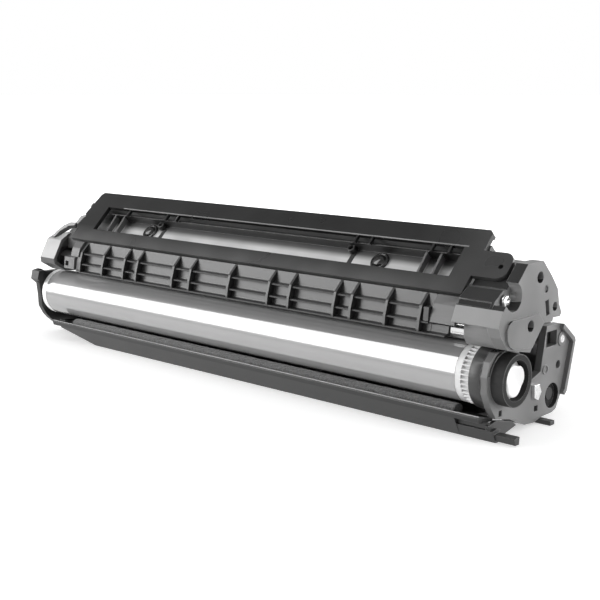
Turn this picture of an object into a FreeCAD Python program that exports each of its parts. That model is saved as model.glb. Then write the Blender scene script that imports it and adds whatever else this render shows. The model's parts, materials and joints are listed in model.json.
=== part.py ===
import FreeCAD, Part
import math
import os
import re
import Sketcher

# Wide-format toner cartridge: a drum unit below and a hopper unit hinged over it.
# X runs along the drum towards the driven end, Y to the back, Z up.
# The origin is the centre of the drive collar's open face, on the drum's axis.

SIZES = {
    # fits
    "running_gap": 0.3,
    "bearing_gap": 0.05,
    "press_gap": 0.02,
    # drum and its ends
    "drum_radius": 15.0,
    "drum_wall": 1.0,
    "drum_length": 335.0,
    "drum_flange_width": 3.4,
    "plain_flange_width": 4.0,
    "flange_spigot": 8.0,
    "flange_step": 0.15,
    "drum_pin_radius": 4.0,
    "pin_tip_radius": 3.5,
    "pin_boss_depth": 1.5,
    "pin_tip_length": 5.0,
    # driven end
    "collar_radius": 13.0,
    "collar_bore": 10.0,
    "collar_length": 7.0,
    "end_plate_thickness": 4.0,
    "gear_cover_depth": 6.2,
    "gear_cover_radius": 16.2,
    "gear_cover_wall": 1.8,
    "coupling_radius": 8.9,
    "coupling_length": 4.0,
    "coupling_recess": 1.0,
    "coupling_turn": 64.0,
    "coupling_twist": 36.0,
    "coupling_blunting": 27.0,
    # gears
    "gear_module": 0.75,
    "gear_width": 5.0,
    "pressure_angle": 20.0,
    "gear_backlash": 0.16,
    "drum_teeth": 38,
    "developer_teeth": 23,
    "idler_teeth": 17,
    "agitator_teeth": 22,
    # developer roller
    "developer_lean": 4.0,
    "sleeve_radius": 7.5,
    "sleeve_wall": 1.2,
    "ring_radius": 7.57,
    "ring_width": 3.6,
    "magnet_radius": 5.2,
    "journal_radius": 3.0,
    "hub_reach": 5.0,
    # charge roller
    "charge_radius": 6.0,
    "charge_shaft_radius": 3.0,
    "charge_angle": -35.0,
    "charge_block": 8.4,
    "charge_block_width": 5.0,
    "charge_travel": 0.3,
    "charge_spring_radius": 1.6,
    "hopper_spring_radius": 1.9,
    "spring_wire": 0.3,
    "spring_gap": 0.12,
    "spring_seat": 0.5,
    "lug_underside": 6.2,
    "spring_back": 5.2,
    # agitator
    "agitator_back": 21.0,
    "agitator_height": 37.0,
    "agitator_shaft_radius": 2.5,
    "paddle_reach": 9.0,
    "paddle_thickness": 1.0,
    # hinge between the units
    "hinge_back": 52.1,
    "hinge_height": 11.2,
    "hinge_pin_radius": 2.0,
    "lug_width": 5.4,
    # where the drum's tube ends
    "tube_end": "=-(collar_length + end_plate_thickness + gear_cover_depth + running_gap + gear_width"
                " + drum_flange_width + drum_length)",
    # drum unit's mouldings
    "wall": 2.0,
    "end_wall": 3.0,
    "bin_end_gap": 9.1,
    "bin_front": 25.0,
    "bin_floor": -26.0,
    "floor_level": -29.6,
    "rail_back": 35.0,
    "rail_width": 4.0,
    "rail_height": 2.2,
    "rail_reach": 6.6,
    "runner_reach": 6.0,
    "rim_width": 2.2,
    "rim_height": 2.5,
    "blade_thickness": 1.4,
    "bracket_thickness": 1.2,
    "film_thickness": 0.4,
    "felt_thickness": 1.2,
    # hopper unit: the sloping frame over it
    "frame_front": -10.3,
    "frame_front_height": 38.5,
    "frame_angle": 45.0,
    "frame_low": 2.1,
    "frame_width": 41.6,
    "frame_thickness": 2.5,
    "frame_start": -27.5,
    "frame_end": "=tube_end + 22.4",
    "window_low": 11.2,
    "window_high": "=frame_width - 11.5",
    "window_start": -39.3,
    "window_end": "=tube_end + 38.4",
    "window_depth": 9.0,
    "tray_fall": 2.4,
    "tray_bow": 0.6,
    "tab_reach": 18.5,
    "tab_low": 13.2,
    "tab_high": 28.9,
    "tab_corner": 5.5,
    "tab_hole": 1.3,
    # hopper unit: chamber, guard and caps
    "hopper_start": -26.5,
    "hopper_end": "=tube_end + 15.4",
    "face_thickness": 3.0,
    "face_edge": 6.6,
    "plain_cap_width": 15.5,
    "plain_plate_gap": 4.7,
    "guard_start": -41.5,
    "guard_end": "=tube_end + 40.5",
    "guard_front": -8.6,
    "guard_top": 38.2,
    "guard_wall": 1.6,
    "guard_ledge": 1.4,
    "rib_width": 1.6,
    "rib_depth": 2.4,
    "bulge_height": 1.2,
    "shroud_radius": 11.2,
    "shroud_end": -24.8,
    "plug_radius": 5.0,
    "access_radius": 5.5,
    "screw_radius": 3.2,
    "screw_recess": 2.6,
    "shank_radius": 1.5,
}

# The guard's thirteen ribs stand at uneven places, as shares of its length.
RIB_SHARES = (0.0165, 0.0918, 0.1732, 0.2144, 0.3292, 0.3858, 0.4987, 0.6164, 0.6705, 0.7903, 0.8354,
              0.9107, 0.9932)
# Clips, bosses and cross walls stand at shares of the window's length.
CLIP_SHARES = (0.0272, 0.0653, 0.2059, 0.2426, 0.7532, 0.7881, 0.9188)
PLUG_SHARES = (0.1875, 0.8482)
CROSS_WALL_SHARES = (0.047, 0.0794, 0.94, 0.9718)

# Places along the row, from the driven end to the plain end
PLATE_FACE = "-collar_length"
PLATE_BACK = f"({PLATE_FACE} - end_plate_thickness)"
COVER_BACK = f"({PLATE_BACK} - gear_cover_depth)"
GEAR_FACE = f"({COVER_BACK} - running_gap)"
GEAR_BACK = f"({GEAR_FACE} - gear_width)"
TUBE_START = f"({GEAR_BACK} - drum_flange_width)"
TUBE_END = "tube_end"
FLANGE_END = f"({TUBE_END} - plain_flange_width)"
ARM_FACE = f"({FLANGE_END} - plain_plate_gap)"
ARM_BACK = f"({ARM_FACE} - end_plate_thickness)"
BIN_START = f"({PLATE_BACK} - bin_end_gap)"
BIN_END = f"({ARM_FACE} + bin_end_gap - 0.5)"
CAP_END = "(hopper_end - plain_cap_width)"
RING_FACE = f"({GEAR_BACK} - running_gap)"
SLEEVE_START = f"({RING_FACE} - ring_width)"
SLEEVE_END = "(hopper_end + 6)"

# Centres in the cross section
GEAR_REACH = "(gear_module * (drum_teeth + developer_teeth) / 2)"
DEVELOPER = (f"{GEAR_REACH} * sin(developer_lean)", f"{GEAR_REACH} * cos(developer_lean)")
CHARGE_REACH = "(drum_radius + running_gap + charge_radius)"
CHARGE = (f"{CHARGE_REACH} * cos(charge_angle)", f"{CHARGE_REACH} * sin(charge_angle)")
AGITATOR = ("agitator_back", "agitator_height")
HINGE = ("hinge_back", "hinge_height")
DRUM = ("0", "0")

doc = FreeCAD.newDocument("TonerCartridge")
sheet = doc.addObject("Spreadsheet::Sheet", "Sizes")
for row, (alias, amount) in enumerate(SIZES.items(), start=1):
    sheet.set(f"A{row}", alias)
    sheet.set(f"B{row}", str(amount))
    sheet.setAlias(f"B{row}", alias)
doc.recompute()
pieces = []


def bound(expression):
    """The expression with every named size pointing at its cell."""
    def cell(match):
        word = match.group(0)
        return f"Sizes.{word}" if word in SIZES else word
    return re.sub(r"[a-z][a-z_]*", cell, str(expression))


def number(expression):
    """What an expression comes to with the sheet's present values."""
    found = sheet.evalExpression(bound(expression))
    return float(getattr(found, "Value", found))


def bind(thing, path, expression):
    thing.setExpression(path, bound(expression))


def keep(thing, label):
    """Marks an object as a finished piece, under the name that its file gets."""
    thing.Label = label
    pieces.append(thing)
    return thing


def moulding(label, separate=False):
    """A new body; separate ones hold several solids that are alike."""
    body = doc.addObject("PartDesign::Body", label + "_body")
    body.AllowCompound = separate
    return keep(body, label)


def draw(sketch, loops):
    """Draws closed loops: a tuple (y, z, radius) is a circle, a list of (y, z) a polygon."""
    for loop in loops:
        first = sketch.GeometryCount
        if isinstance(loop, tuple):
            across, up, radius = loop
            centre = FreeCAD.Vector(number(across), number(up), 0)
            sketch.addGeometry(Part.Circle(centre, FreeCAD.Vector(0, 0, 1), number(radius)), False)
            rule = sketch.addConstraint(Sketcher.Constraint("Radius", first, number(radius)))
            bind(sketch, f"Constraints[{rule}]", radius)
            pin_point(sketch, first, 3, across, up)
            continue
        spots = [FreeCAD.Vector(number(across), number(up), 0) for across, up in loop]
        for start, end in zip(spots, spots[1:] + spots[:1]):
            sketch.addGeometry(Part.LineSegment(start, end), False)
        for index, (across, up) in enumerate(loop):
            following = first + (index + 1) % len(loop)
            sketch.addConstraint(Sketcher.Constraint("Coincident", first + index, 2, following, 1))
            pin_point(sketch, first + index, 1, across, up)


def pin_point(sketch, geometry, end, across, up):
    """Holds one point of a sketch at named distances from its origin."""
    for kind, distance in (("DistanceX", across), ("DistanceY", up)):
        rule = sketch.addConstraint(Sketcher.Constraint(kind, -1, 1, geometry, end, number(distance)))
        bind(sketch, f"Constraints[{rule}]", distance)


def section(body, loops, place):
    """A sketch across the row, at a place along it."""
    sketch = body.newObject("Sketcher::SketchObject", "Section")
    plane = datum(body, "YZ_Plane")
    sketch.AttachmentSupport = [(plane, "")]
    sketch.MapMode = "FlatFace"
    bind(sketch, ".AttachmentOffset.Base.z", place)
    draw(sketch, loops)
    return sketch


def slope_sketch(body, loops, depth):
    """A sketch in the frame's sloping plane: X along the row, Y up the slope."""
    sketch = body.newObject("Sketcher::SketchObject", "SlopeSketch")
    plane = datum(body, "XY_Plane")
    sketch.AttachmentSupport = [(plane, "")]
    sketch.MapMode = "FlatFace"
    turn = FreeCAD.Rotation(FreeCAD.Vector(1, 0, 0), number("frame_angle"))
    sketch.AttachmentOffset = FreeCAD.Placement(FreeCAD.Vector(0, 0, 0), turn)
    across, up = on_frame("0", depth)
    bind(sketch, ".AttachmentOffset.Base.y", across)
    bind(sketch, ".AttachmentOffset.Base.z", up)
    bind(sketch, ".AttachmentOffset.Rotation.Angle", "frame_angle")
    draw(sketch, loops)
    return sketch


def datum(body, role):
    return [part for part in body.Origin.OriginFeatures if part.Role == role][0]


def grow(body, sketch, length, back=False):
    pad = body.newObject("PartDesign::Pad", "Pad")
    pad.Profile = sketch
    pad.Reversed = back
    pad.Refine = False
    bind(pad, "Length", length)
    return pad


def sink(body, sketch, length, back=True):
    pocket = body.newObject("PartDesign::Pocket", "Pocket")
    pocket.Profile = sketch
    pocket.Reversed = back
    pocket.Refine = False
    bind(pocket, "Length", length)
    return pocket


def slab(body, loops, near, far):
    """Fills the loops from the near place to the far one, which is further down the row."""
    return grow(body, section(body, loops, far), f"({near}) - ({far})")


def hollow(body, loops, near, far):
    """Cuts the loops away between two places along the row."""
    return sink(body, section(body, loops, far), f"({near}) - ({far})")


def front_sketch(body, loops, forward):
    """A sketch seen from the front: X along the row, Y up, set forward of the drum's axis."""
    sketch = body.newObject("Sketcher::SketchObject", "FrontSketch")
    plane = datum(body, "XZ_Plane")
    sketch.AttachmentSupport = [(plane, "")]
    sketch.MapMode = "FlatFace"
    bind(sketch, ".AttachmentOffset.Base.z", forward)
    draw(sketch, loops)
    return sketch


def bar(label, loops, near, far):
    """An extrusion along the row that is fused with others of its piece."""
    sketch = doc.addObject("Sketcher::SketchObject", label + "Sketch")
    sketch.Placement = FreeCAD.Placement(FreeCAD.Vector(0, 0, 0),
                                         FreeCAD.Rotation(FreeCAD.Vector(1, 1, 1), 120))
    bind(sketch, ".Placement.Base.x", far)
    draw(sketch, loops)
    solid = doc.addObject("Part::Extrusion", label)
    solid.Base = sketch
    solid.DirMode = "Normal"
    solid.Solid = True
    bind(solid, "LengthFwd", f"({near}) - ({far})")
    return solid


def fused(label, parts):
    whole = doc.addObject("Part::MultiFuse", label + "_fusion")
    whole.Shapes = parts
    whole.Refine = True
    return keep(whole, label)


def disc(centre, radius):
    return (centre[0], centre[1], radius)


def ring(centre, outer, inner):
    return [disc(centre, outer), disc(centre, inner)]


def box_loop(left, low, right, high):
    return [(left, low), (right, low), (right, high), (left, high)]


def along_window(share):
    return f"(window_start + {share} * (window_end - window_start))"


def on_frame(along, depth):
    """A point up the frame's slope from its front edge and down from its face, as (y, z)."""
    across = f"frame_front + ({along}) * cos(frame_angle) + ({depth}) * sin(frame_angle)"
    up = f"frame_front_height + ({along}) * sin(frame_angle) - ({depth}) * cos(frame_angle)"
    return across, up


def around_drum(radius, angle):
    return f"({radius}) * cos({angle})", f"({radius}) * sin({angle})"


def around_developer(radius, angle):
    return f"{DEVELOPER[0]} + ({radius}) * cos({angle})", f"{DEVELOPER[1]} + ({radius}) * sin({angle})"


def round_edges(body, radius, wanted):
    """Rounds the edges whose middle and direction pass the test."""
    doc.recompute()
    names = []
    for index, edge in enumerate(body.Shape.Edges, start=1):
        middle = edge.valueAt((edge.FirstParameter + edge.LastParameter) / 2)
        run = edge.lastVertex().Point.sub(edge.firstVertex().Point) if len(edge.Vertexes) > 1 else None
        if run is not None and wanted(middle, run):
            names.append(f"Edge{index}")
    fillet = body.newObject("PartDesign::Fillet", "Rounding")
    fillet.Base = (body.Tip if body.Tip != fillet else fillet.BaseFeature, names)
    bind(fillet, "Radius", radius)
    body.Tip = fillet
    return fillet


def involute_wheel(teeth, tooth_angle):
    """A spur gear's outline, in the cross section, with one tooth centred at tooth_angle."""
    module = number("gear_module")
    pressure = math.radians(number("pressure_angle"))
    pitch = module * teeth / 2
    base = pitch * math.cos(pressure)
    tip = pitch + module
    root = pitch - 1.25 * module
    half = math.pi / teeth / 2 - number("gear_backlash") / 4 / pitch + math.tan(pressure) - pressure
    steps = 2
    flank = [(root, half + 0.15 / teeth)]
    for step in range(steps + 1):
        radius = max(base, root) + (tip - max(base, root)) * step / steps
        roll = math.sqrt(max((radius / base) ** 2 - 1, 0.0))
        flank.append((radius, half - (roll - math.atan(roll))))
    points = []
    for tooth in range(teeth):
        middle = math.radians(tooth_angle) + 2 * math.pi * tooth / teeth
        for radius, lean in flank:
            points.append((radius, middle - lean))
        for radius, lean in reversed(flank):
            points.append((radius, middle + lean))
    spots = [FreeCAD.Vector(0, radius * math.cos(turn), radius * math.sin(turn)) for radius, turn in points]
    return Part.Face(Part.makePolygon(spots + spots[:1]))


def gear_solid(teeth, tooth_angle, bore, near, far, centre):
    """A spur gear with a round bore, between two places along the row."""
    width = number(near) - number(far)
    wheel = involute_wheel(teeth, tooth_angle).extrude(FreeCAD.Vector(width, 0, 0))
    if bore > 0:
        wheel = wheel.cut(rod(bore, width, 0))
    wheel.translate(FreeCAD.Vector(number(far), number(centre[0]), number(centre[1])))
    return wheel


def rod(radius, length, place):
    """A cylinder along the row, on the drum's axis."""
    return Part.makeCylinder(radius, length, FreeCAD.Vector(place, 0, 0), FreeCAD.Vector(1, 0, 0))


def solid_piece(label, shape):
    """A piece whose shape is worked out in code."""
    feature = doc.addObject("Part::Feature", label + "_shape")
    feature.Shape = shape
    return keep(feature, label)


def coil(radius, wire, turns, height):
    """A compression spring standing on the XY plane, its wire drawn with six flat sides."""
    stations = 8 * turns
    sections = []
    for station in range(stations + 1):
        turn = 2 * math.pi * turns * station / stations
        outward = FreeCAD.Vector(math.cos(turn), math.sin(turn), 0)
        upward = FreeCAD.Vector(0, 0, 1)
        middle = outward * radius + upward * (height * station / stations)
        corners = []
        for corner in range(6):
            lean = math.pi * corner / 3
            corners.append(middle + outward * (wire * math.cos(lean)) + upward * (wire * math.sin(lean)))
        sections.append(Part.makePolygon(corners + corners[:1]))
    return Part.makeLoft(sections, True, True)


def line_angle(start, end):
    """The direction from one centre to another in the cross section, in degrees."""
    across = number(end[0]) - number(start[0])
    up = number(end[1]) - number(start[1])
    return math.degrees(math.atan2(up, across))


def idler_centre():
    """Where the idler meshes with both the developer gear and the agitator gear."""
    module = number("gear_module")
    first = module * (number("developer_teeth") + number("idler_teeth")) / 2
    second = module * (number("idler_teeth") + number("agitator_teeth")) / 2
    start = (number(DEVELOPER[0]), number(DEVELOPER[1]))
    end = (number(AGITATOR[0]), number(AGITATOR[1]))
    span = math.hypot(end[0] - start[0], end[1] - start[1])
    ahead = ((end[0] - start[0]) / span, (end[1] - start[1]) / span)
    along = (first ** 2 - second ** 2 + span ** 2) / 2 / span
    aside = math.sqrt(first ** 2 - along ** 2)
    across = start[0] + along * ahead[0] - aside * ahead[1]
    up = start[1] + along * ahead[1] + aside * ahead[0]
    return str(round(across, 6)), str(round(up, 6))


IDLER = idler_centre()


def meshing_angle(start, end, driver_teeth, driver_angle, teeth):
    """The tooth angle that puts a gear in mesh with its driver at rest."""
    line = line_angle(start, end)
    driver_phase = (line - driver_angle) * driver_teeth / 360
    return line + 180 + (driver_phase - 0.5) * 360 / teeth


# Drum


def make_drum():
    tube = moulding("drum_tube")
    slab(tube, ring(DRUM, "drum_radius", "drum_radius - drum_wall"), TUBE_START, TUBE_END)

    spigot_radius = "drum_radius - drum_wall - press_gap"
    flange = moulding("drum_plain_flange")
    slab(flange, ring(DRUM, "drum_radius", "drum_pin_radius + bearing_gap"), TUBE_END, FLANGE_END)
    spigot_end = f"{TUBE_END} + flange_spigot"
    slab(flange, ring(DRUM, spigot_radius, "drum_pin_radius + bearing_gap"), spigot_end, TUBE_END)

    solid_piece("drum_drive_flange", drive_flange(number(spigot_radius)))


def drive_flange(spigot_radius):
    """Gear, flange, hub and coupling of the drum's driven end, moulded as one."""
    teeth = int(number("drum_teeth"))
    face = number(GEAR_FACE)
    back = number(GEAR_BACK)
    start = number(TUBE_START)
    spigot = number("flange_spigot")
    hub_end = -number("coupling_recess") - number("coupling_length")
    hub_radius = number("collar_bore - bearing_gap")
    shape = gear_solid(teeth, DRUM_TOOTH, 0, GEAR_FACE, GEAR_BACK, DRUM)
    shape = shape.fuse(rod(number("drum_radius - flange_step"), back - start, start))
    shape = shape.fuse(rod(spigot_radius, spigot, start - spigot))
    shape = shape.fuse(rod(hub_radius, hub_end - face, face))
    shape = shape.fuse(twisted_coupling(hub_end))
    return shape.removeSplitter()


def twisted_coupling(place):
    """The three-cornered driven prism, which twists a little towards its end."""
    radius = number("coupling_radius")
    length = number("coupling_length")
    first = number("coupling_turn")
    twist = number("coupling_twist")
    steps = 3
    wires = []
    for step in range(steps + 1):
        turn = math.radians(first + twist * step / steps)
        wires.append(lobed_wire(radius, turn, place + length * step / steps))
    return Part.makeLoft(wires, True, True)


def lobed_wire(radius, turn, place):
    """A triangle with blunt corners, standing across the row."""
    blunt = math.radians(number("coupling_blunting"))
    spots = []
    for corner in range(3):
        middle = turn + 2 * math.pi * corner / 3
        for lean in (-blunt, blunt):
            angle = middle + lean
            spots.append(FreeCAD.Vector(place, radius * math.cos(angle), radius * math.sin(angle)))
    return Part.makePolygon(spots + spots[:1])


DRUM_TOOTH = line_angle(DRUM, DEVELOPER)
DEVELOPER_TOOTH = meshing_angle(DRUM, DEVELOPER, SIZES["drum_teeth"], DRUM_TOOTH, SIZES["developer_teeth"])
IDLER_TOOTH = meshing_angle(DEVELOPER, IDLER, SIZES["developer_teeth"], DEVELOPER_TOOTH,
                            SIZES["idler_teeth"])
AGITATOR_TOOTH = meshing_angle(IDLER, AGITATOR, SIZES["idler_teeth"], IDLER_TOOTH,
                               SIZES["agitator_teeth"])


# Drum unit: waste bin with its chute, end plates and what they hold

LEDGE_LOW = ("bin_front - 3", "7")
LEDGE_HIGH = ("bin_front + 4.5", "15.5")
CHUTE_LIP = ("-13.5", "-17")
CHUTE_FOOT = ("-4", "-19.2")


def make_waste_bin():
    bin_body = moulding("waste_bin")
    outer = [LEDGE_LOW, LEDGE_HIGH, ("33", "18.4"), ("50", "18.4"), ("61.5", "10.2"), ("55.5", "-16.8"),
             ("47", "bin_floor + 0.5"), ("bin_front - 4", "bin_floor"), ("bin_front", "bin_floor + 5")]
    outer.append(("bin_front", "-5"))
    slab(bin_body, [outer], BIN_START, BIN_END)
    cavity = [("bin_front + wall", "bin_floor + wall"), ("46.2", "bin_floor + 0.5 + wall"),
              ("55.5 - wall", "-15.6"), ("61.5 - wall", "9.2"), ("49.3", "18.4 - wall"),
              ("34", "18.4 - wall"), ("31", "14.2"), ("bin_front - 0.4", "6.2"),
              ("bin_front - 6", "6.2"), ("bin_front - 6", "-5"), ("bin_front + wall", "-5")]
    hollow(bin_body, [cavity], f"{BIN_START} - end_wall", f"{BIN_END} + end_wall")
    chute_top = "bin_floor + 5.5"
    chute = [("bin_front + 0.5", chute_top), ("8", chute_top), CHUTE_FOOT, CHUTE_LIP, ("-15", "-16.6"), ("-15.8", "-17.6"), ("-15", "-20"), ("-9.6", "floor_level"),
             ("-6.6", "floor_level"), ("-6.8", "floor_level + 2.4"), ("-11.4", "-20.6"),
             ("-3", "-21.4"), ("8", "bin_floor + 3.3"), ("bin_front + 0.5", "bin_floor + 3.3")]
    slab(bin_body, [chute], SKIRT_START, SKIRT_END)
    pan = [("bin_front + 0.5", chute_top), ("8", chute_top), CHUTE_FOOT, ("-4", "-21.3"),
           ("8", "bin_floor + 3.3"), ("bin_front + 0.5", "bin_floor + 3.3")]
    slab(bin_body, [pan], BIN_START, SKIRT_START)
    slab(bin_body, [pan], SKIRT_END, BIN_END)
    lip = [("-3", "-19.4"), CHUTE_LIP, ("-15", "-16.6"), ("-15.8", "-17.6"), ("-15", "-20"),
           ("-11.4", "-20.6"), ("-3", "-21.3")]
    slab(bin_body, [lip], SKIRT_END, f"{SKIRT_END} - 8")
    slab(bin_body, [lip], f"{PLATE_BACK} - running_gap", SKIRT_START)
    runner = [("-12.6", "floor_level + 6.2"), ("-9.6", "floor_level"), ("-6.6", "floor_level"),
              ("-6", "floor_level + 6"), ("-8.6", "floor_level + 7")]
    slab(bin_body, [runner], "-5", SKIRT_START)
    tip = [("-10.8", "floor_level + 4.4"), ("-9.6", "floor_level + 1"), ("-6.6", "floor_level + 1"),
           ("-6.2", "floor_level + 4.8")]
    slab(bin_body, [tip], "runner_reach", "-5")
    end_web = [("-13", "-21"), ("-9.6", "floor_level"), ("-6.6", "floor_level"), ("12", "-25.8"),
               ("8", "-22.9"), ("-6", "-19.8")]
    slab(bin_body, [end_web], f"{PLATE_FACE} - 0.2", f"{PLATE_FACE} - 0.2 - wall")
    rail_front = "rail_back - rail_width / 2"
    rail_rear = "rail_back + rail_width / 2"
    root = box_loop(rail_front, "floor_level", rail_rear, "bin_floor + 0.6")
    slab(bin_body, [root], f"{BIN_START} - running_gap", f"{BIN_END} + running_gap")
    rail = box_loop(rail_front, "floor_level", rail_rear, "floor_level + rail_height")
    slab(bin_body, [rail], f"{PLATE_FACE} + rail_reach", ARM_BACK)
    for near in (f"{BIN_START} - end_wall", f"{BIN_END} + end_wall + charge_block_width + 0.6"):
        shelf = box_loop(f"{CHARGE[0]} - charge_block / 2", "bin_floor + 5", "bin_front + 0.5",
                         f"{CHARGE[1]} - charge_block / 2 - bearing_gap")
        slab(bin_body, [shelf], near, f"{near} - charge_block_width - 0.6")
    corner = [(f"{SKIRT_END} - 1", "floor_level - 1"), (f"{SKIRT_END} + 34", "floor_level - 1"),
              (f"{SKIRT_END} - 1", "-20.7")]
    sink(bin_body, front_sketch(bin_body, [corner], "20"), "15", back=False)
    bores = [disc(place, "shank_radius + press_gap") for place in PLATE_SCREWS]
    hollow(bin_body, bores[:1], BIN_START, f"{BIN_START} - end_wall")
    hollow(bin_body, bores, f"{BIN_END} + end_wall", BIN_END)
    web = slab(bin_body, [[("-10", "-20.5"), ("-7", "floor_level + 3"), ("4", "-22")]],
               f"{SKIRT_START} - 20", f"{SKIRT_START} - 20 - wall")
    row = bin_body.newObject("PartDesign::LinearPattern", "Webs")
    row.Originals = [web]
    row.Direction = (datum(bin_body, "X_Axis"), [""])
    row.Reversed = True
    bind(row, "Length", f"{SKIRT_START} - ({SKIRT_END}) - 70")
    row.Occurrences = 6
    row.Refine = False
    bin_body.Tip = row


SKIRT_START = "-25.5"
SKIRT_END = f"({TUBE_END} + 15.9)"
PLATE_SCREWS = (("43.3", "-16.3"), ("36", "-1"))


PLATE_FRONT = [("-11.2", "-13"), ("-gear_cover_radius + 0.8", "-5"), ("-gear_cover_radius + 0.4", "3"),
               ("-13", "9.9"), ("-8.8", "13.9"), ("8.5", "13.4"), ("14", "9"), ("16.5", "2"),
               ("22", "-6")]
PLATE_REAR = [("9.4", "-22.4"), ("19.2", "-27.3"), ("27.9", "-28.2"), ("35.1", "bin_floor - 0.6"),
              ("45.6", "bin_floor - 0.5"), ("49.4", "-25.2"), ("53.5", "-18.4"), ("55.6", "-16.6"),
              ("62.6", "9"), ("61.6", "10.9"), ("50.4", "19.4"), ("37.5", "19.7")]


def plate_flange(body, near, far):
    """The wall round the low edge of an end plate that stands against the waste bin."""
    wall_loop = [("19.2", "-27.3"), ("27.9", "-28.2"), ("35.1", "bin_floor - 0.6"),
                 ("45.6", "bin_floor - 0.5"), ("49.4", "-25.2"), ("53.5", "-18.4"), ("55.6", "-16.6"),
                 ("59.8", "-1"), ("57.4", "-1"), ("53.8", "-15"), ("51.6", "-17.2"), ("48.2", "-23.2"),
                 ("45.2", "-24.2"), ("35.2", "-24.3"), ("28", "-26"), ("20", "-25")]
    slab(body, [wall_loop], near, far)
    seat = box_loop("52.5", "-2.4", "59.4", "0.5")
    slab(body, [seat], near, far)


def make_drive_plate():
    plate = moulding("drive_end_plate")
    outline = PLATE_REAR + [("33", "-2.7")] + PLATE_FRONT[::-1] + [("-6.8", "-18.8")]
    slab(plate, [outline], PLATE_FACE, PLATE_BACK)
    slab(plate, [disc(DRUM, "collar_radius")], "0", PLATE_FACE)
    slab(plate, [disc(DRUM, "gear_cover_radius")], PLATE_BACK, COVER_BACK)
    hollow(plate, [disc(DRUM, "collar_bore")], "0", COVER_BACK)
    hollow(plate, [disc(DRUM, "gear_cover_radius - gear_cover_wall")], PLATE_BACK, COVER_BACK)
    plate_flange(plate, PLATE_BACK, BIN_START)
    rim = [("50.4", "19.4"), ("61.6", "10.9"), ("62.6", "9"), ("55.6", "-16.6"), ("53.5", "-18.4"),
           ("52.4", "-16.6"), ("55.6 - rim_width", "-15.4"), ("62.6 - rim_width", "8.4"),
           ("60.6 - rim_width / 2", "9.6"), ("49.6", "17.2")]
    slab(plate, [rim], f"{PLATE_FACE} + rim_height", PLATE_FACE)
    slot = [around_drum("collar_radius + 0.4", angle) for angle in range(102, 167, 16)]
    slot = slot + [around_drum("gear_cover_radius - 1.3", angle) for angle in range(166, 101, -16)]
    openings = [box_loop("37.4", "8.8", "47.6", "16.6"), disc(("50", "-2"), "2.2"), slot,
                box_loop("28", "-22.6", "31.4", "-19.6"), disc(CHARGE_PEG, "2.4 + press_gap")]
    hollow(plate, openings, PLATE_FACE, PLATE_BACK)
    slab(plate, [disc(HINGE, "hinge_pin_radius + 1.8")], f"{PLATE_FACE} + 0.8", PLATE_FACE)
    pin_bore = disc(HINGE, "hinge_pin_radius + press_gap")
    hollow(plate, [pin_bore], f"{PLATE_FACE} + 0.8", PLATE_BACK)
    mark = ("37", "-2.4")
    slab(plate, [disc(mark, "2.5")], f"{PLATE_FACE} + 0.6", PLATE_FACE)
    hollow(plate, [disc(mark, "1.9")], f"{PLATE_FACE} + 0.6", PLATE_FACE)
    pockets = [box_loop("-4.6", "-18.2", "-1.8", "-15.2"), disc(("44.8", "-17.4"), "6.6")]
    hollow(plate, pockets, PLATE_FACE, f"{PLATE_FACE} - screw_recess")
    slab(plate, [disc(PLATE_SCREWS[0], "3.4")], PLATE_BACK, BIN_START)
    hollow(plate, [disc(PLATE_SCREWS[0], "shank_radius + press_gap")], PLATE_FACE, BIN_START)


CHARGE_PEG = ("27.4", "-11.4")


def make_plain_plate():
    plate = moulding("plain_end_plate")
    arm = [("8", "-28.4"), ("1", "-24.9"), ("-5.9", "-19.2"), ("-9.2", "-15.5"), ("-12.4", "-9.6"),
           ("-12.8", "-1"), ("-13.7", "6.2"), ("-17.7", "9.7"), ("-16.4", "15.4"), ("-12", "16.2"),
           ("-8", "14"), ("8.5", "14"), ("16.5", "9"), ("33", "17")]
    slab(plate, [PLATE_REAR[1:] + arm[::-1]], ARM_FACE, ARM_BACK)
    plate_flange(plate, BIN_END, ARM_FACE)
    slab(plate, [disc(DRUM, "drum_pin_radius + 3.5")], ARM_BACK, f"{ARM_BACK} - pin_boss_depth")
    boss_face = f"{FLANGE_END} - 0.8"
    slab(plate, [disc(DRUM, "drum_pin_radius + 3.5")], boss_face, ARM_FACE)
    hollow(plate, [disc(DRUM, "drum_pin_radius + press_gap")], boss_face, f"{ARM_BACK} - pin_boss_depth")
    openings = [disc(HINGE, "hinge_pin_radius + press_gap"), box_loop("40.6", "-9", "50", "4")]
    hollow(plate, openings, ARM_FACE, ARM_BACK)
    hook = [("-13.6", "8.2"), ("-16", "8.2"), ("-17.7", "9.7"), ("-16.4", "15.4"), ("-13", "15.4")]
    slab(plate, [hook], f"{ARM_FACE} + 4", ARM_FACE)
    slab(plate, [disc(place, "3.4") for place in PLATE_SCREWS], BIN_END, ARM_FACE)
    bores = [disc(place, "shank_radius + press_gap") for place in PLATE_SCREWS]
    hollow(plate, bores, BIN_END, ARM_BACK)


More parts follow.
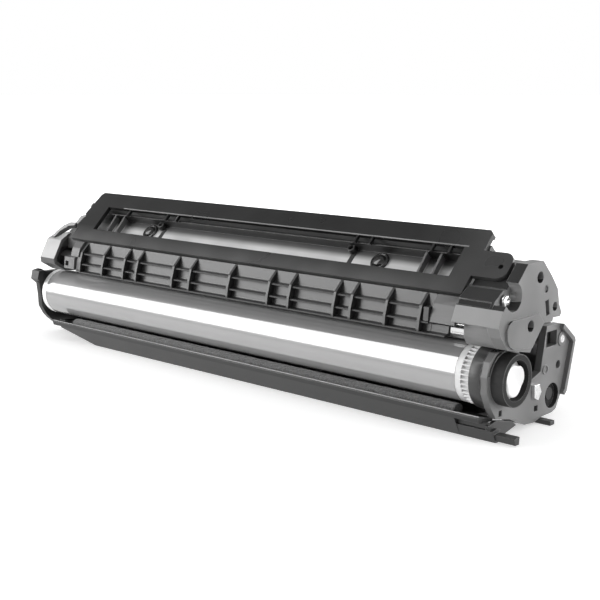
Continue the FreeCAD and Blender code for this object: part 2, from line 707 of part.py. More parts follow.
def make_drum_unit_parts():
    pin = moulding("drum_pin")
    boss_end = f"{ARM_BACK} - pin_boss_depth"
    slab(pin, [disc(DRUM, "drum_pin_radius")], f"{TUBE_END} + flange_spigot - 1", boss_end)
    slab(pin, [disc(DRUM, "pin_tip_radius")], boss_end, f"{boss_end} - pin_tip_length")

    hinge_pins = moulding("hinge_pins", separate=True)
    slab(hinge_pins, [disc(HINGE, "hinge_pin_radius")], f"{PLATE_FACE} + 0.8", f"{LUG_END} + 0.2")
    slab(hinge_pins, [disc(HINGE, "hinge_pin_radius")], f"{PLAIN_LUG_START} - 0.2", ARM_BACK)

    screws = moulding("plate_screws", separate=True)
    seat = f"{PLATE_FACE} - screw_recess"
    slab(screws, [disc(PLATE_SCREWS[0], "screw_radius")], f"{seat} + 2", seat)
    slab(screws, [disc(PLATE_SCREWS[0], "shank_radius")], seat, f"{BIN_START} - end_wall")
    for place in PLATE_SCREWS:
        slab(screws, [disc(place, "shank_radius")], f"{BIN_END} + end_wall", ARM_BACK)
        slab(screws, [disc(place, "screw_radius")], ARM_BACK, f"{ARM_BACK} - 2")

    peg = moulding("charge_contact")
    slab(peg, [disc(CHARGE_PEG, "2.4")], PLATE_FACE, f"{PLATE_BACK} - 1")
    peg_head = [("24.6", "-8.2"), ("29.2", "-8"), ("31.4", "-12.4"), ("28.6", "-16.4"), ("25", "-14.6")]
    slab(peg, [peg_head], f"{PLATE_FACE} + 2", PLATE_FACE)


def make_cleaning_parts():
    near = f"{BIN_START} - 2"
    far = f"{BIN_END} + 2"
    lean = "atan((15.5 - 7) / 7.5)"
    bracket_loop = [
        ledge_point("-2.5", "0", lean), ledge_point("10", "0", lean),
        ledge_point("10", "bracket_thickness", lean), ledge_point("-2.5", "bracket_thickness", lean)]
    bracket = moulding("wiper_bracket")
    slab(bracket, [bracket_loop], near, far)
    tip = "drum_radius + running_gap"
    blade_loop = [around_drum(tip, "4.3"), around_drum(tip, "11.3"),
                  ledge_point("1", "bracket_thickness + blade_thickness", lean),
                  ledge_point("1", "bracket_thickness", lean),
                  ledge_point("-2.5", "bracket_thickness", lean)]
    blade = moulding("wiper_blade")
    slab(blade, [blade_loop], f"{TUBE_START} - 6", f"{TUBE_END} + 6")

    film = moulding("recovery_film")
    film_loop = [("bin_front", "-9"), ("bin_front - film_thickness", "-9"),
                 ("bin_front - film_thickness", "-5.9"), around_drum(tip, "-9"),
                 around_drum(tip, "-7.5"), ("bin_front", "-5.3")]
    slab(film, [film_loop], f"{BIN_START} - 3.5", f"{BIN_END} + 3.5")

    felt = moulding("felt_strip")
    top = "press_gap + felt_thickness"
    felt_loop = [on_chute("0.9", "press_gap"), on_chute("8.6", "press_gap"), on_chute("8.6", top),
                 on_chute("0.9", top)]
    slab(felt, [felt_loop], f"{SKIRT_START} - 2", f"{SKIRT_END} + 10")


def on_chute(along, over):
    """A point along the chute's upper face, back from its lip, and a distance off it."""
    lean = f"atan(({CHUTE_LIP[1]} - ({CHUTE_FOOT[1]})) / ({CHUTE_FOOT[0]} - ({CHUTE_LIP[0]})))"
    across = f"{CHUTE_LIP[0]} + ({along}) * cos({lean}) + ({over}) * sin({lean})"
    up = f"{CHUTE_LIP[1]} - ({along}) * sin({lean}) + ({over}) * cos({lean})"
    return across, up


def ledge_point(along, over, lean):
    """A point along the waste bin's sloping ledge and a distance off its face."""
    across = f"{LEDGE_LOW[0]} + ({along}) * cos({lean}) - ({over}) * sin({lean})"
    up = f"{LEDGE_LOW[1]} + ({along}) * sin({lean}) + ({over}) * cos({lean})"
    return across, up


def make_charge_roller():
    block_start = f"{BIN_START} - end_wall - running_gap"
    block_end = f"{BIN_END} + end_wall + running_gap"
    rubber = moulding("charge_roller")
    slab(rubber, ring(CHARGE, "charge_radius", "charge_shaft_radius + press_gap"), f"{TUBE_START} - 4",
         f"{block_end} + charge_block_width + 1")
    shaft = moulding("charge_shaft")
    slab(shaft, [disc(CHARGE, "charge_shaft_radius")], f"{block_start} - 0.4", f"{block_end} + 0.4")
    half = "charge_block / 2"
    for label, near in (("charge_bearing_drive", block_start),
                        ("charge_bearing_plain", f"{block_end} + charge_block_width")):
        block = moulding(label)
        loop = box_loop(f"{CHARGE[0]} - {half}", f"{CHARGE[1]} - {half}", f"{CHARGE[0]} + {half}",
                        f"{CHARGE[1]} + {half}")
        bore = disc(CHARGE, "charge_shaft_radius + bearing_gap")
        slab(block, [loop, bore], near, f"{near} - charge_block_width")
    springs = []
    radius = number("charge_spring_radius")
    wire = number("spring_wire")
    clearance = number("spring_gap")
    block_gap = clearance + number("charge_travel") + wire
    reach = number("bin_front") - number(CHARGE[0]) - number(half)
    for near in (block_start, f"{block_end} + charge_block_width"):
        spring = coil(radius, wire, 3, reach - block_gap - clearance - wire)
        spring.rotate(FreeCAD.Vector(0, 0, 0), FreeCAD.Vector(1, 0, 0), -90)
        middle = number(near) - number("charge_block_width") / 2
        start = number("bin_front") - reach + block_gap
        spring.translate(FreeCAD.Vector(middle, start, number(CHARGE[1])))
        springs.append(spring)
    solid_piece("charge_springs", Part.makeCompound(springs))


# Developer roller


def make_developer():
    sleeve = moulding("developer_sleeve")
    slab(sleeve, ring(DEVELOPER, "sleeve_radius", "sleeve_radius - sleeve_wall"), SLEEVE_START, SLEEVE_END)

    hub = "sleeve_radius - sleeve_wall - press_gap"
    bore = "journal_radius + bearing_gap"
    wheel = gear_solid(int(number("developer_teeth")), DEVELOPER_TOOTH, number(bore), GEAR_FACE, GEAR_BACK,
                       DEVELOPER)
    hub_length = number(f"{GEAR_BACK} - {SLEEVE_START} + hub_reach")
    neck = rod(number(hub), hub_length, 0).cut(rod(number(bore), hub_length, 0))
    neck.translate(FreeCAD.Vector(number(GEAR_BACK) - hub_length, number(DEVELOPER[0]),
                                  number(DEVELOPER[1])))
    solid_piece("developer_gear", wheel.fuse(neck).removeSplitter())

    flange = moulding("developer_end_flange")
    slab(flange, ring(DEVELOPER, hub, bore), f"{SLEEVE_END} + hub_reach", f"{SLEEVE_END} - ring_width")

    rings = moulding("spacer_rings", separate=True)
    loops = ring(DEVELOPER, "ring_radius", "sleeve_radius - sleeve_wall")
    slab(rings, loops, RING_FACE, SLEEVE_START)
    slab(rings, loops, SLEEVE_END, f"{SLEEVE_END} - ring_width + running_gap")

    magnet = moulding("magnet_core")
    slab(magnet, [disc(DEVELOPER, "magnet_radius")], f"{SLEEVE_START} - 6", f"{SLEEVE_END} + 6")
    slab(magnet, [disc(DEVELOPER, "journal_radius")], BEARING_OUT, f"{SLEEVE_START} - 6")
    slab(magnet, [disc(DEVELOPER, "journal_radius")], f"{SLEEVE_END} + 6", f"{CAP_END} + 1")


BEARING_OUT = "-face_thickness - 1"


# Hopper unit

def by_agitator(across, up):
    """A point at a distance from the agitator's axis, around which the chamber is shaped."""
    return f"agitator_back + ({across})", f"agitator_height + ({up})"


CHAMBER_REAR = [by_agitator(7.2, 10.2), by_agitator(13.2, 3.1), by_agitator(15, -4.8),
                by_agitator(9.7, -10.7), by_agitator(0.5, -12.1), ("14.4", "17.6")]
CHAMBER_INSIDE = [by_agitator(5.6, 8.7), by_agitator(11.2, 2.3), by_agitator(12.9, -4.3),
                  by_agitator(8.8, -8.8), by_agitator(-0.4, -10.2), ("12.4", "18.4"), ("8", "19"),
                  ("8", "28.4"), ("6.6", "32.6")]


def make_hopper():
    hopper = moulding("hopper_shell")
    under = "frame_thickness"
    beam_front = "frame_front + 4.3"
    outer = [(beam_front, "32.5"), on_frame("4.3 / cos(frame_angle) - frame_thickness", under),
             on_frame("8.6", under), on_frame("9.5", "window_depth + tray_fall"),
             on_frame("13.2", "window_depth + tray_fall / 3"), on_frame("17.5", "window_depth"),
             on_frame("22", "window_depth"), on_frame("window_high + 0.9", "window_depth + tray_bow"),
             on_frame("window_high + 0.9", under),
             on_frame("window_high + 3.9", under), on_frame("window_high + 3.9", "window_depth")]
    outer = outer + CHAMBER_REAR + [("11.4", "13.2"), ("9.8", "14.6"), ("10.6", "21"), ("9.4", "26.5"),
                                    ("5.5", "31.5"), ("0.8", "32.5")]
    slab(hopper, [outer], "hopper_start", "hopper_end")
    inside = [on_frame("11", "window_depth + tray_fall - tray_bow + wall"),
              on_frame("17.5", "window_depth + wall"),
              on_frame("window_high + 1.2", "window_depth + wall"),
              on_frame("window_high + 4", "window_depth + 0.6")] + CHAMBER_INSIDE
    hollow(hopper, [inside], "hopper_start - end_wall", "hopper_end + end_wall")
    rail_low = "window_high - 3.4"
    rail_high = "window_high - 2.6"
    rail = [on_frame(rail_low, "3"), on_frame(rail_high, "3"), on_frame(rail_high, "window_depth + 1"),
            on_frame(rail_low, "window_depth + 1")]
    slab(hopper, [rail], "window_start - 2", "window_end + 2")
    cross_wall = [on_frame("9.8", "5"), on_frame("window_high - 3.2", "3.6"),
                  on_frame("window_high - 3.2", "window_depth + 1"), on_frame("9.8", "window_depth + 3")]
    for share in CROSS_WALL_SHARES:
        slab(hopper, [cross_wall], along_window(share), f"{along_window(share)} - 1.3")
    # end cheeks close the front beside the guard
    cheek = [(beam_front, "34"), (beam_front, "guard_top"), ("guard_front", "guard_top"), ("-12", "34"),
             ("-14.4", "28.6"), ("-15.2", "25.2"), ("-13.4", "24.8"), ("-12.6", "28.2"), ("-10.4", "33")]
    slab(hopper, [cheek], "hopper_start", "guard_start + running_gap")
    brow = [(beam_front, "34"), (beam_front, "guard_top"), ("guard_front", "guard_top"), ("-12.4", "34.4"),
            ("-14.2", "29"), ("-12.4", "28.4"), ("-10.4", "33")]
    slab(hopper, [brow], "guard_end - 3.4", "guard_end - 11.5")
    clip_plate = [("-13.2", "29"), ("-16.4", "28.6"), ("-17.4", "21"), ("-15.2", "21"), ("-14.4", "26.6")]
    slab(hopper, [clip_plate], "guard_end - 4.5", "guard_end - 15")
    clip_hole = box_loop("guard_end - 13.8", "22.8", "guard_end - 10.6", "25.8")
    sink(hopper, front_sketch(hopper, [clip_hole], "19"), "4.5", back=False)
    shaft_bore = disc(AGITATOR, "agitator_shaft_radius + bearing_gap")
    hollow(hopper, [shaft_bore], "hopper_start", "hopper_start - end_wall")
    slab(hopper, [disc(AGITATOR, "agitator_shaft_radius + 2")], "hopper_end + end_wall + 4",
         "hopper_end + end_wall")
    hollow(hopper, [shaft_bore], "hopper_end + end_wall + 4", "hopper_end + end_wall")
    hollow(hopper, [disc(PLUG, "plug_radius + press_gap")], "hopper_end + end_wall", "hopper_end")
    for share in PLUG_SHARES:
        hole = slope_sketch(hopper, [(along_window(share), ACCESS_ALONG, "access_radius - 2.5 + press_gap")],
                            "window_depth")
        sink(hopper, hole, "wall", back=False)


PLUG = ("13.4", "28.6")
ACCESS_ALONG = "(window_low + 9.2)"


def make_frame():
    frame = moulding("window_frame")
    outline = [("frame_end", "frame_low"), ("frame_start", "frame_low"), ("frame_start", "tab_low"),
               ("frame_start + tab_reach", "tab_low"), ("frame_start + tab_reach", "tab_high"),
               ("frame_start", "tab_high"), ("frame_start", "frame_width - 2"),
               ("frame_start - 2", "frame_width"), ("frame_end + 2", "frame_width"),
               ("frame_end", "frame_width - 2"), ("frame_end - 2.7", "window_high - 7.1"),
               ("frame_end - 0.5", "window_high - 9.5"), ("frame_end - 1.8", "window_high - 11.5"),
               ("frame_end - 3.4", "12.4"), ("frame_end", "10.6")]
    window = [("window_end", "window_low"), ("window_start", "window_low"),
              ("window_start", "window_high"), ("window_end", "window_high")]
    hole = ("frame_start + tab_reach - 5", "(tab_low + tab_high) / 2 - 0.6", "tab_hole")
    grow(frame, slope_sketch(frame, [outline, window, hole], "0"), "frame_thickness", back=True)
    clip = [on_frame("window_high - 4.5", "0.6"), on_frame("window_high + 0.7", "0.6"),
            on_frame("window_high + 0.7", "2.4"), on_frame("window_high - 4.5", "2.4")]
    for share in CLIP_SHARES:
        slab(frame, [clip], along_window(share), f"{along_window(share)} - 1.2")
    lip = [on_frame("frame_width - 1.6", "1"), on_frame("frame_width", "1"),
           on_frame("frame_width", "6"), on_frame("frame_width - 1.6", "6")]
    slab(frame, [lip], "frame_start - 2", "frame_end + 2")
    corner_at = number("frame_start + tab_reach")

    def tab_corner(middle, run):
        across_plate = abs(run.x) < 0.01 and abs(run.y + run.z) < 0.01
        return across_plate and abs(middle.x - corner_at) < 0.01

    round_edges(frame, "tab_corner", tab_corner)


def make_guard():
    ledge = "guard_ledge"
    front = [("guard_front", "guard_top"), ("-10.4", "32.1"), (f"-12.4 - {ledge}", "31.7"),
             (f"-12.4 - {ledge}", "30.9"), ("-10.9", "30.7"), ("-12.2", "25.6"),
             (f"-14.4 - {ledge}", "25.2"), (f"-14.4 - {ledge}", "24.4"), ("-12.7", "24.2"),
             ("-13.5", "20.4"), (f"-15.3 - {ledge}", "20"), (f"-15.3 - {ledge}", "19.2")]
    back = [("-13.5 + guard_wall", "19.2"), ("-12.7 + guard_wall", "24.4"),
            ("-10.7 + guard_wall", "31.4"), ("-9.2 + guard_wall", "36.4"), ("frame_front + 4.3", "36.6"),
            ("frame_front + 4.3", "guard_top")]
    bars = [bar("GuardPanel", [front + back], "guard_start", "guard_end")]
    rib = [("guard_front", "guard_top"), ("-12 - rib_depth", "32.6"), ("-14.1 - rib_depth", "25.8"),
           ("-14.8 - rib_depth", "21"), (f"-15.3 - {ledge}", "19.2"), ("-13", "19.2"), ("-12", "26"),
           ("-10.2", "32.5"), ("guard_front + 0.8", "guard_top - 1")]
    for share in RIB_SHARES:
        place = f"(guard_start + {share} * (guard_end - guard_start))"
        bars.append(bar("GuardRib", [rib], place, f"{place} - rib_width"))
    hook = [("-10.5", "32.4"), ("-15.2", "32.4"), ("-15.8", "25.6"), ("-12.3", "25.6")]
    bars.append(bar("GuardHook", [hook], "guard_start", "guard_start - 3"))
    fused("rib_guard", bars)


FACE_OUTLINE = [("5.9", "55.4"), ("19.8", "55.4"), by_agitator(7.2, 10.2), by_agitator(13.2, 3.1),
                by_agitator(15.1, -4.8), by_agitator(17.6, -9.3), by_agitator(16.2, -11),
                by_agitator(9.7, -10.7), by_agitator(9.1, -12.6), by_agitator(0.5, -12.1),
                ("14.4", "17.6"), ("10.4", "collar_radius - 1"), ("-10.2", "collar_radius + 3.5"),
                ("-15.5", "22.9"), ("-18.1", "27.9"), ("-14.3", "35.6")]
CAP_INSIDE = [("19", "52.2"), by_agitator(5.6, 8.9), by_agitator(11.2, 2.3), by_agitator(12.9, -4.3),
              by_agitator(8, -8.6), by_agitator(-0.3, -10.1), ("12.6", "18.8"), ("8", "16")]
CORNER_NOTCH = ("-5.6", "41")
LUG = [("29.2", "27.6"), ("34.5", "33.5"), ("44", "24.5"), ("54.5", "16"), ("60.4", "12.4"),
       ("60.4", "7.3"), ("52", "6.2"), ("46.5", "8.6"), ("37.2", "21.4"), ("31.5", "24.8")]
LUG_START = f"{PLATE_BACK} - 1.4"
LUG_END = f"({LUG_START} - lug_width)"
PLAIN_LUG_START = f"({CAP_END} - 1)"
PLAIN_LUG_END = f"({ARM_FACE} + 1.4)"
CAP_STEP = "(hopper_end - 5.5)"


def make_drive_cap():
    cap = moulding("hopper_drive_cap")
    slab(cap, [FACE_OUTLINE], "0", "-face_edge")
    body_outline = [("-11.5", "39"), ("-4.5", "43.4"), ("-1.2", "43.4"), ("9", "53.6"), ("19.8", "54.4")]
    body_outline = body_outline + FACE_OUTLINE[2:]
    slab(cap, [body_outline], "-face_edge", "hopper_start")
    inside = [("-10.6", "36.8"), ("-4", "41.2"), ("-0.4", "41.2"), ("9.7", "51.4")] + CAP_INSIDE
    inside = inside + [("-9", "18.8"), ("-13.6", "23.9"), ("-16", "28.1"), ("-12.4", "35.4")]
    hollow(cap, [inside], "-face_edge - 1", "hopper_start")
    inner_face = [("1.4", "44"), ("9.7", "51.4")] + CAP_INSIDE + [("-9", "18.8"), ("-9", "32.4"),
                                                                 ("1.4", "33")]
    hollow(cap, [inner_face], "-face_thickness", "-face_edge - 1")
    groove = [("-13.9", "36.1"), ("-13.1", "35.5"), ("-11.15", "37.9"), ("-11.9", "38.5"), ("-13.4", "37.6")]
    hollow(cap, [groove], "-face_edge - 1.5", "hopper_start")
    mouth = box_loop("-20", "8", "11.5", "27.8")
    hollow(cap, [mouth], "-face_edge", "hopper_start")
    slab(cap, [LUG], LUG_START, LUG_END)
    hollow(cap, [disc(HINGE, "hinge_pin_radius + bearing_gap")], LUG_START, LUG_END)
    boss = disc(DEVELOPER, "journal_radius + 3.2")
    pin_boss = disc(IDLER, "shank_radius + 1.8")
    slab(cap, [boss, pin_boss], "-face_thickness", f"{GEAR_FACE} + 1")
    bores = [disc(DEVELOPER, "journal_radius + press_gap"), disc(IDLER, "shank_radius + press_gap")]
    hollow(cap, bores, BEARING_OUT, f"{GEAR_FACE} + 1")
    bulge = [("16", "30.4"), ("-8", "30.2"), ("-10.8", "28.8"), ("-12.2", "26"), ("-11.8", "21.6"),
             ("-9.6", "18.2"), ("-5.8", "16.2"), ("0", "15.6"), ("6.5", "15"), ("10.4", "14.6"),
             ("14.4", "19"), ("20.4", "25.4")]
    slab(cap, [bulge], "bulge_height", "0")
    shroud = [around_developer("shroud_radius", angle) for angle in range(112, 221, 12)]
    shroud = shroud + [around_developer("shroud_radius - 1.5", angle) for angle in range(220, 111, -12)]
    slab(cap, [shroud], "-face_thickness", "shroud_end")
    hollow(cap, [disc(CORNER_NOTCH, "7")], "0", "-face_edge")
    hollow(cap, [[CORNER_NOTCH, ("-12.4", "52"), ("-20", "44"), ("-11.6", "36.9")]], "0", "-face_edge")
    slot = [("22.6", "35.4"), ("25.8", "36"), ("27.4", "28.4"), ("24.2", "27.8")]
    holes = [disc(("17.4", "47.7"), "2.9"), disc(("32.2", "31.5"), "2.3"), disc(("8.2", "25.4"), "2.9")]
    hollow(cap, holes + [slot], "bulge_height", "-face_thickness")
    hollow(cap, [disc(("23.2", "41.3"), "1.9")], "0", "-1")
    hollow(cap, [disc(CAP_SCREW, "shank_radius + press_gap")], "-face_edge", "-face_edge - 8")


CAP_SCREW = ("-4.2", "38.4")


def make_plain_cap():
    cap = moulding("hopper_plain_cap")
    face = [("9", "52"), ("19.8", "53.4")] + FACE_OUTLINE[2:11]
    face = face + [("9", "15.4"), ("-9", "17.2"), ("-17.6", "22.4"), ("-18", "26"), ("-11.5", "38"),
                   ("-5.5", "41.8"), ("-0.8", "42.2")]
    slab(cap, [face], "hopper_end", CAP_STEP)
    rear = [by_agitator(9, -1.4), by_agitator(13.6, -5)] + FACE_OUTLINE[7:11]
    rear = rear + [("9", "15.4"), ("-9", "17.2"), ("-17.6", "22.4"), ("-18", "26"), ("-11.5", "38"),
                   ("-6", "40.4"), ("-3", "39.4"), ("8", "37")]
    slab(cap, [rear], CAP_STEP, CAP_END)
    inside = [("-10.2", "36.2"), ("-5", "39.6"), ("-0.2", "40"), ("9.7", "49.8"), ("19", "51.2")]
    inside = inside + CAP_INSIDE[1:] + [("-8.6", "19.4"), ("-15.4", "23.6"), ("-15.8", "26")]
    hollow(cap, [inside], "hopper_end", f"{CAP_STEP} + wall")
    deep = [("-11.6", "32.6"), ("8", "33.4"), by_agitator(8, -3.6), by_agitator(11.2, -6)]
    deep = deep + CAP_INSIDE[4:] + [("-8.6", "19.4"), ("-15.4", "23.6"), ("-15.8", "26")]
    hollow(cap, [deep], f"{CAP_STEP} + wall", f"{CAP_END} + face_thickness")
    slab(cap, [LUG], CAP_END, PLAIN_LUG_END)
    pin_bore = disc(HINGE, "hinge_pin_radius + bearing_gap")
    hollow(cap, [pin_bore], CAP_END, PLAIN_LUG_END)
    bearing = disc(DEVELOPER, "journal_radius + 3.2")
    slab(cap, [bearing], f"{SLEEVE_END} - ring_width - 1", f"{CAP_END} + face_thickness")
    hollow(cap, [disc(DEVELOPER, "journal_radius + press_gap")], f"{SLEEVE_END} - ring_width - 1",
           f"{CAP_END} + 1")
    arch = [("hopper_end + 3", "14"), ("hopper_end + 3", "11.4"), ("hopper_end - 2", "10.6"),
            ("hopper_end - 7.4", "5.4"), ("hopper_end - 8.8", "0.4"), ("hopper_end - 11.6", "0.4"),
            ("hopper_end - 10.8", "5"), ("hopper_end - 7.6", "10.6"), ("hopper_end - 3", "13.6")]
    grow(cap, slope_sketch(cap, [arch], "-1"), "3", back=True)


def make_hopper_parts():
    pin = moulding("idler_pin")
    slab(pin, [disc(IDLER, "shank_radius")], BEARING_OUT, f"{GEAR_BACK} - 0.4")

    bracket = moulding("doctor_bracket")
    loop = [("-8.4", "24.6"), ("-7.2", "24.6"), ("-7.2", "31.3"), ("0.6", "31.3"), ("0.6", "32.5"),
            ("-7.4", "32.5"), ("-8.4", "31.5")]
    slab(bracket, [loop], "hopper_start - 14.6", "hopper_end + 20")
    blade = moulding("doctor_blade")
    top = "31.3"
    low = f"{DEVELOPER[1]} + sleeve_radius + running_gap"
    slab(blade, [box_loop("-4.6", low, "0.8", top)], "hopper_start - 14.6", "hopper_end + 20")

    seals = moulding("roller_seals", separate=True)
    seal = [("9.9", "17"), ("10.4", "20.8"), ("9.2", "26"), ("9", "25.8"), ("9.6", "20.8"), ("9.2", "17")]
    slab(seals, [seal], "hopper_start - end_wall - 0.4", "hopper_start - end_wall - 8")
    slab(seals, [seal], "hopper_end + end_wall + 8", "hopper_end + end_wall + 0.4")

    plug = moulding("fill_plug")
    slab(plug, [disc(PLUG, "plug_radius")], "hopper_end + end_wall", "hopper_end")
    slab(plug, [disc(PLUG, "plug_radius + 1")], "hopper_end", "hopper_end - 1.4")

    access = moulding("access_plugs", separate=True)
    for share in PLUG_SHARES:
        place = along_window(share)
        stem = slope_sketch(access, [(place, ACCESS_ALONG, "access_radius - 2.5")], "window_depth")
        grow(access, stem, "wall", back=True)
        cap = slope_sketch(access, [(place, ACCESS_ALONG, "access_radius")], "window_depth")
        grow(access, cap, "2.2")
        crown = slope_sketch(access, [(place, ACCESS_ALONG, "access_radius - 2.2")], "window_depth - 2.2")
        grow(access, crown, "1.2")

    screw = moulding("cap_screw")
    slab(screw, [disc(CAP_SCREW, "screw_radius")], "-face_edge + 2.6", "-face_edge")
    slab(screw, [disc(CAP_SCREW, "shank_radius")], "-face_edge", "-face_edge - 8")


def make_agitator():
    idler = gear_solid(int(number("idler_teeth")), IDLER_TOOTH, number("shank_radius + bearing_gap"),
                       GEAR_FACE, GEAR_BACK, IDLER)
    solid_piece("idler_gear", idler)
    shaft = moulding("agitator_shaft")
    slab(shaft, [disc(AGITATOR, "agitator_shaft_radius")], GEAR_FACE, "hopper_end + end_wall + 0.4")
    wheel = gear_solid(int(number("agitator_teeth")), AGITATOR_TOOTH,
                       number("agitator_shaft_radius + press_gap"), GEAR_FACE, GEAR_BACK, AGITATOR)
    solid_piece("agitator_gear", wheel)
    film = moulding("agitator_paddle")
    half = "paddle_thickness / 2"
    paddle = [(f"agitator_back + agitator_shaft_radius + press_gap", f"agitator_height - {half}"),
              ("agitator_back + paddle_reach", f"agitator_height - {half}"),
              ("agitator_back + paddle_reach", f"agitator_height + {half}"),
              (f"agitator_back + agitator_shaft_radius + press_gap", f"agitator_height + {half}")]
    slab(film, [paddle], "hopper_start - end_wall - 3", "hopper_end + end_wall + 8")


def make_hopper_springs():
    """Springs under the lugs' tails, which hold the hopper unit down on the drum unit."""
    springs = []
    wire = number("spring_wire")
    margin = number("spring_gap") + wire
    seat = number("spring_seat")
    length = number("lug_underside") - seat - 2 * margin
    for near, far in ((LUG_START, LUG_END), (PLAIN_LUG_START, PLAIN_LUG_END)):
        spring = coil(number("hopper_spring_radius"), wire, 4, length)
        middle = (number(near) + number(far)) / 2
        back = number("hinge_back + spring_back")
        spring.translate(FreeCAD.Vector(middle, back, seat + margin))
        springs.append(spring)
    solid_piece("hopper_springs", Part.makeCompound(springs))


make_drum()
make_waste_bin()
make_drive_plate()
make_plain_plate()
make_drum_unit_parts()
make_cleaning_parts()
make_charge_roller()
make_developer()
make_hopper()
make_frame()
make_guard()
make_drive_cap()
make_plain_cap()
make_hopper_parts()
make_agitator()
make_hopper_springs()

for piece in pieces:
    if piece.TypeId == "PartDesign::Body":
        piece.Tip.Refine = True
doc.recompute()
faults = [thing.Name for thing in doc.Objects if "Invalid" in thing.State or "Error" in thing.State]
for thing in doc.Objects:
    if thing.TypeId == "PartDesign::Pocket":
        before = thing.BaseFeature.Shape.Volume
        if before - thing.Shape.Volume < 0.5:
            faults.append(f"{thing.Name} in {thing.getParentGeoFeatureGroup().Label} cuts nothing")
for piece in pieces:
    if piece.Shape.isNull() or not piece.Shape.isValid() or piece.Shape.Volume <= 0:
        faults.append(piece.Label)
if faults:
    raise RuntimeError("not sound: " + ", ".join(faults))

os.makedirs("parts", exist_ok=True)
for piece in pieces:
    piece.Shape.exportStep(f"parts/{piece.Label}.step")
    print(piece.Label, len(piece.Shape.Solids), round(piece.Shape.Volume, 1))
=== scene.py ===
import bpy
import bmesh
import json
import math
from mathutils import Matrix, Vector, noise


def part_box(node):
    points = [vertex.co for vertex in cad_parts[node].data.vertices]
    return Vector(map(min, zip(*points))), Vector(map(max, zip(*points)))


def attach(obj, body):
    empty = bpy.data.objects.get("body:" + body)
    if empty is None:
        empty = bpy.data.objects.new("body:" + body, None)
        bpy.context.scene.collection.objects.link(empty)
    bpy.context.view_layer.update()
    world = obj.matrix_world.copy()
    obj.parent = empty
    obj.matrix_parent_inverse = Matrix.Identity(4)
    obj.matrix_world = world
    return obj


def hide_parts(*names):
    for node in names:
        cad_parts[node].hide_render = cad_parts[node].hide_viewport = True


# Dress of a wide toner cartridge. Metres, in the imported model's own frame:
# X runs along the drum towards the driven end, Y to the back, Z up.
# Places and outlines of small pieces are written in millimetres and scaled by MM.

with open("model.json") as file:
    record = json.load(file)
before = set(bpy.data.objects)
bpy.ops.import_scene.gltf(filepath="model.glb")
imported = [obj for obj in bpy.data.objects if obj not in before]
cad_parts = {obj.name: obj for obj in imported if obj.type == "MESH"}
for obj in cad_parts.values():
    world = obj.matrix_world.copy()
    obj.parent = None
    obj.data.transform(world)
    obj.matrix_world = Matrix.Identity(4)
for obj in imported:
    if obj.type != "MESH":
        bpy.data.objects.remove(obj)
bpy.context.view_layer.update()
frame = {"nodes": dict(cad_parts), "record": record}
NODES = frame["nodes"]
MM = 0.001

# The sloping frame: its front edge in millimetres, and the sine and cosine of its 45 degrees
FRAME_ACROSS, FRAME_UP = -10.3, 38.5
LEAN = 0.7071
OUT_OF_FRAME = (0.0, -LEAN, LEAN)
PAINTED_LIGHT_SPAN = 32 * MM    # the way up the slope over which the painted light on the frame and the painted reflection on the tray change

# Studio
FLOOR = -0.0296
FLOOR_REACH = 40.0
FOCAL_LENGTH, SENSOR_WIDTH = 67.2, 36.0
CAMERA_PLACE = (0.2727, -0.4494, 0.1348)
CAMERA_RIGHT = (0.7363, 0.6765, 0.0)
CAMERA_UP = (-0.1235, 0.1344, 0.9832)

# Name, place, target, (width, height), power, whether it is mirrored, whether it lights dull surfaces
LAMPS = (
    ("long_panel", (-2.1, -1.155, 0.9), (-2.38, -0.195, 0.9), (3.55, 1.82), 73, True, False),
    ("back_panel", (0.9, 1.0, 0.26), (0.0, 0.0, 0.02), (1.4, 0.5), 14, True, False),
    ("low_softbox", (-1.6, -1.1, 0.35), (-0.17, 0.0, 0.02), (1.4, 0.5), 32, False, True),
    ("top_softbox", (-0.15, -0.1, 1.3), (-0.17, 0.02, 0.0), (1.6, 1.0), 3, False, True),
    ("drive_softbox", (1.3, 0.3, 0.3), (0.0, 0.0, 0.02), (0.8, 0.7), 13, True, True),
    ("rear_softbox", (-0.2, 1.2, 0.9), (-0.17, 0.03, 0.04), (1.4, 0.5), 4, False, True),
)

# Stops of (value, tone): the room's light and its mirror image by height, from straight down at 0
# to straight up at 1, the paper's glow by distance, and the paper's painted reflection towards the front:
# a painted glow, a little darker at and behind the object as painted shade, with a painted dark band further
# out
ROOM_LIGHT = ((0.40, 0.30), (0.9, 0.45))
ROOM_MIRRORED = ((0.50, 0.9), (0.62, 0.75), (0.75, 0.42), (0.9, 0.28), (1.0, 0.35))
PAPER_MIDDLE = (-0.18, 0.0, 0.0)
PAPER_GLOW = ((0.30, 0.45), (0.85, 1.0))
PAPER_PAINTED_REFLECTION = ((0.0, 0.9), (0.25, 1.0), (0.68, 1.0), (0.72, 0.5), (0.90, 0.5), (0.97, 1.0))

# Surface effects
MOTTLING = (0.86, 1.14)    # the darkest and lightest share of a moulding's tone
MOULD_PITS, MOULD_MOTTLES = 1400.0, 48.0
RUBBER_PITS, RUBBER_MOTTLES = 2600.0, 90.0
# Edges are partly rubbed and partly given a painted highlight, in a lighter tone.
RUBBED_AND_HIGHLIT_WIDTH, RUBBED_AND_HIGHLIT_BREAKS = 0.5 * MM, 240.0
WORN_AND_HIGHLIT_SHARE = 0.7
DULL = 0.95
PLASTIC_IOR, COAT_IOR = 1.52, 1.6

# Widths of the roundings, in millimetres
ROUNDINGS = {
    "window_frame": 0.6, "rib_guard": 0.2, "hopper_shell": 0.35, "hopper_drive_cap": 0.6,
    "hopper_plain_cap": 0.8, "drive_end_plate": 0.4, "plain_end_plate": 0.5, "waste_bin": 0.35,
    "plate_screws": 0.3, "charge_contact": 0.4,
}
BAR_ROUNDING = 0.2


# Shader nodes

def grey(tone):
    return tone, tone, tone, 1


def feed(tree, socket, value):
    """Sets a node's input to a plain value, or links it to another node's output."""
    if isinstance(value, bpy.types.NodeSocket):
        tree.links.new(value, socket)
    else:
        socket.default_value = value


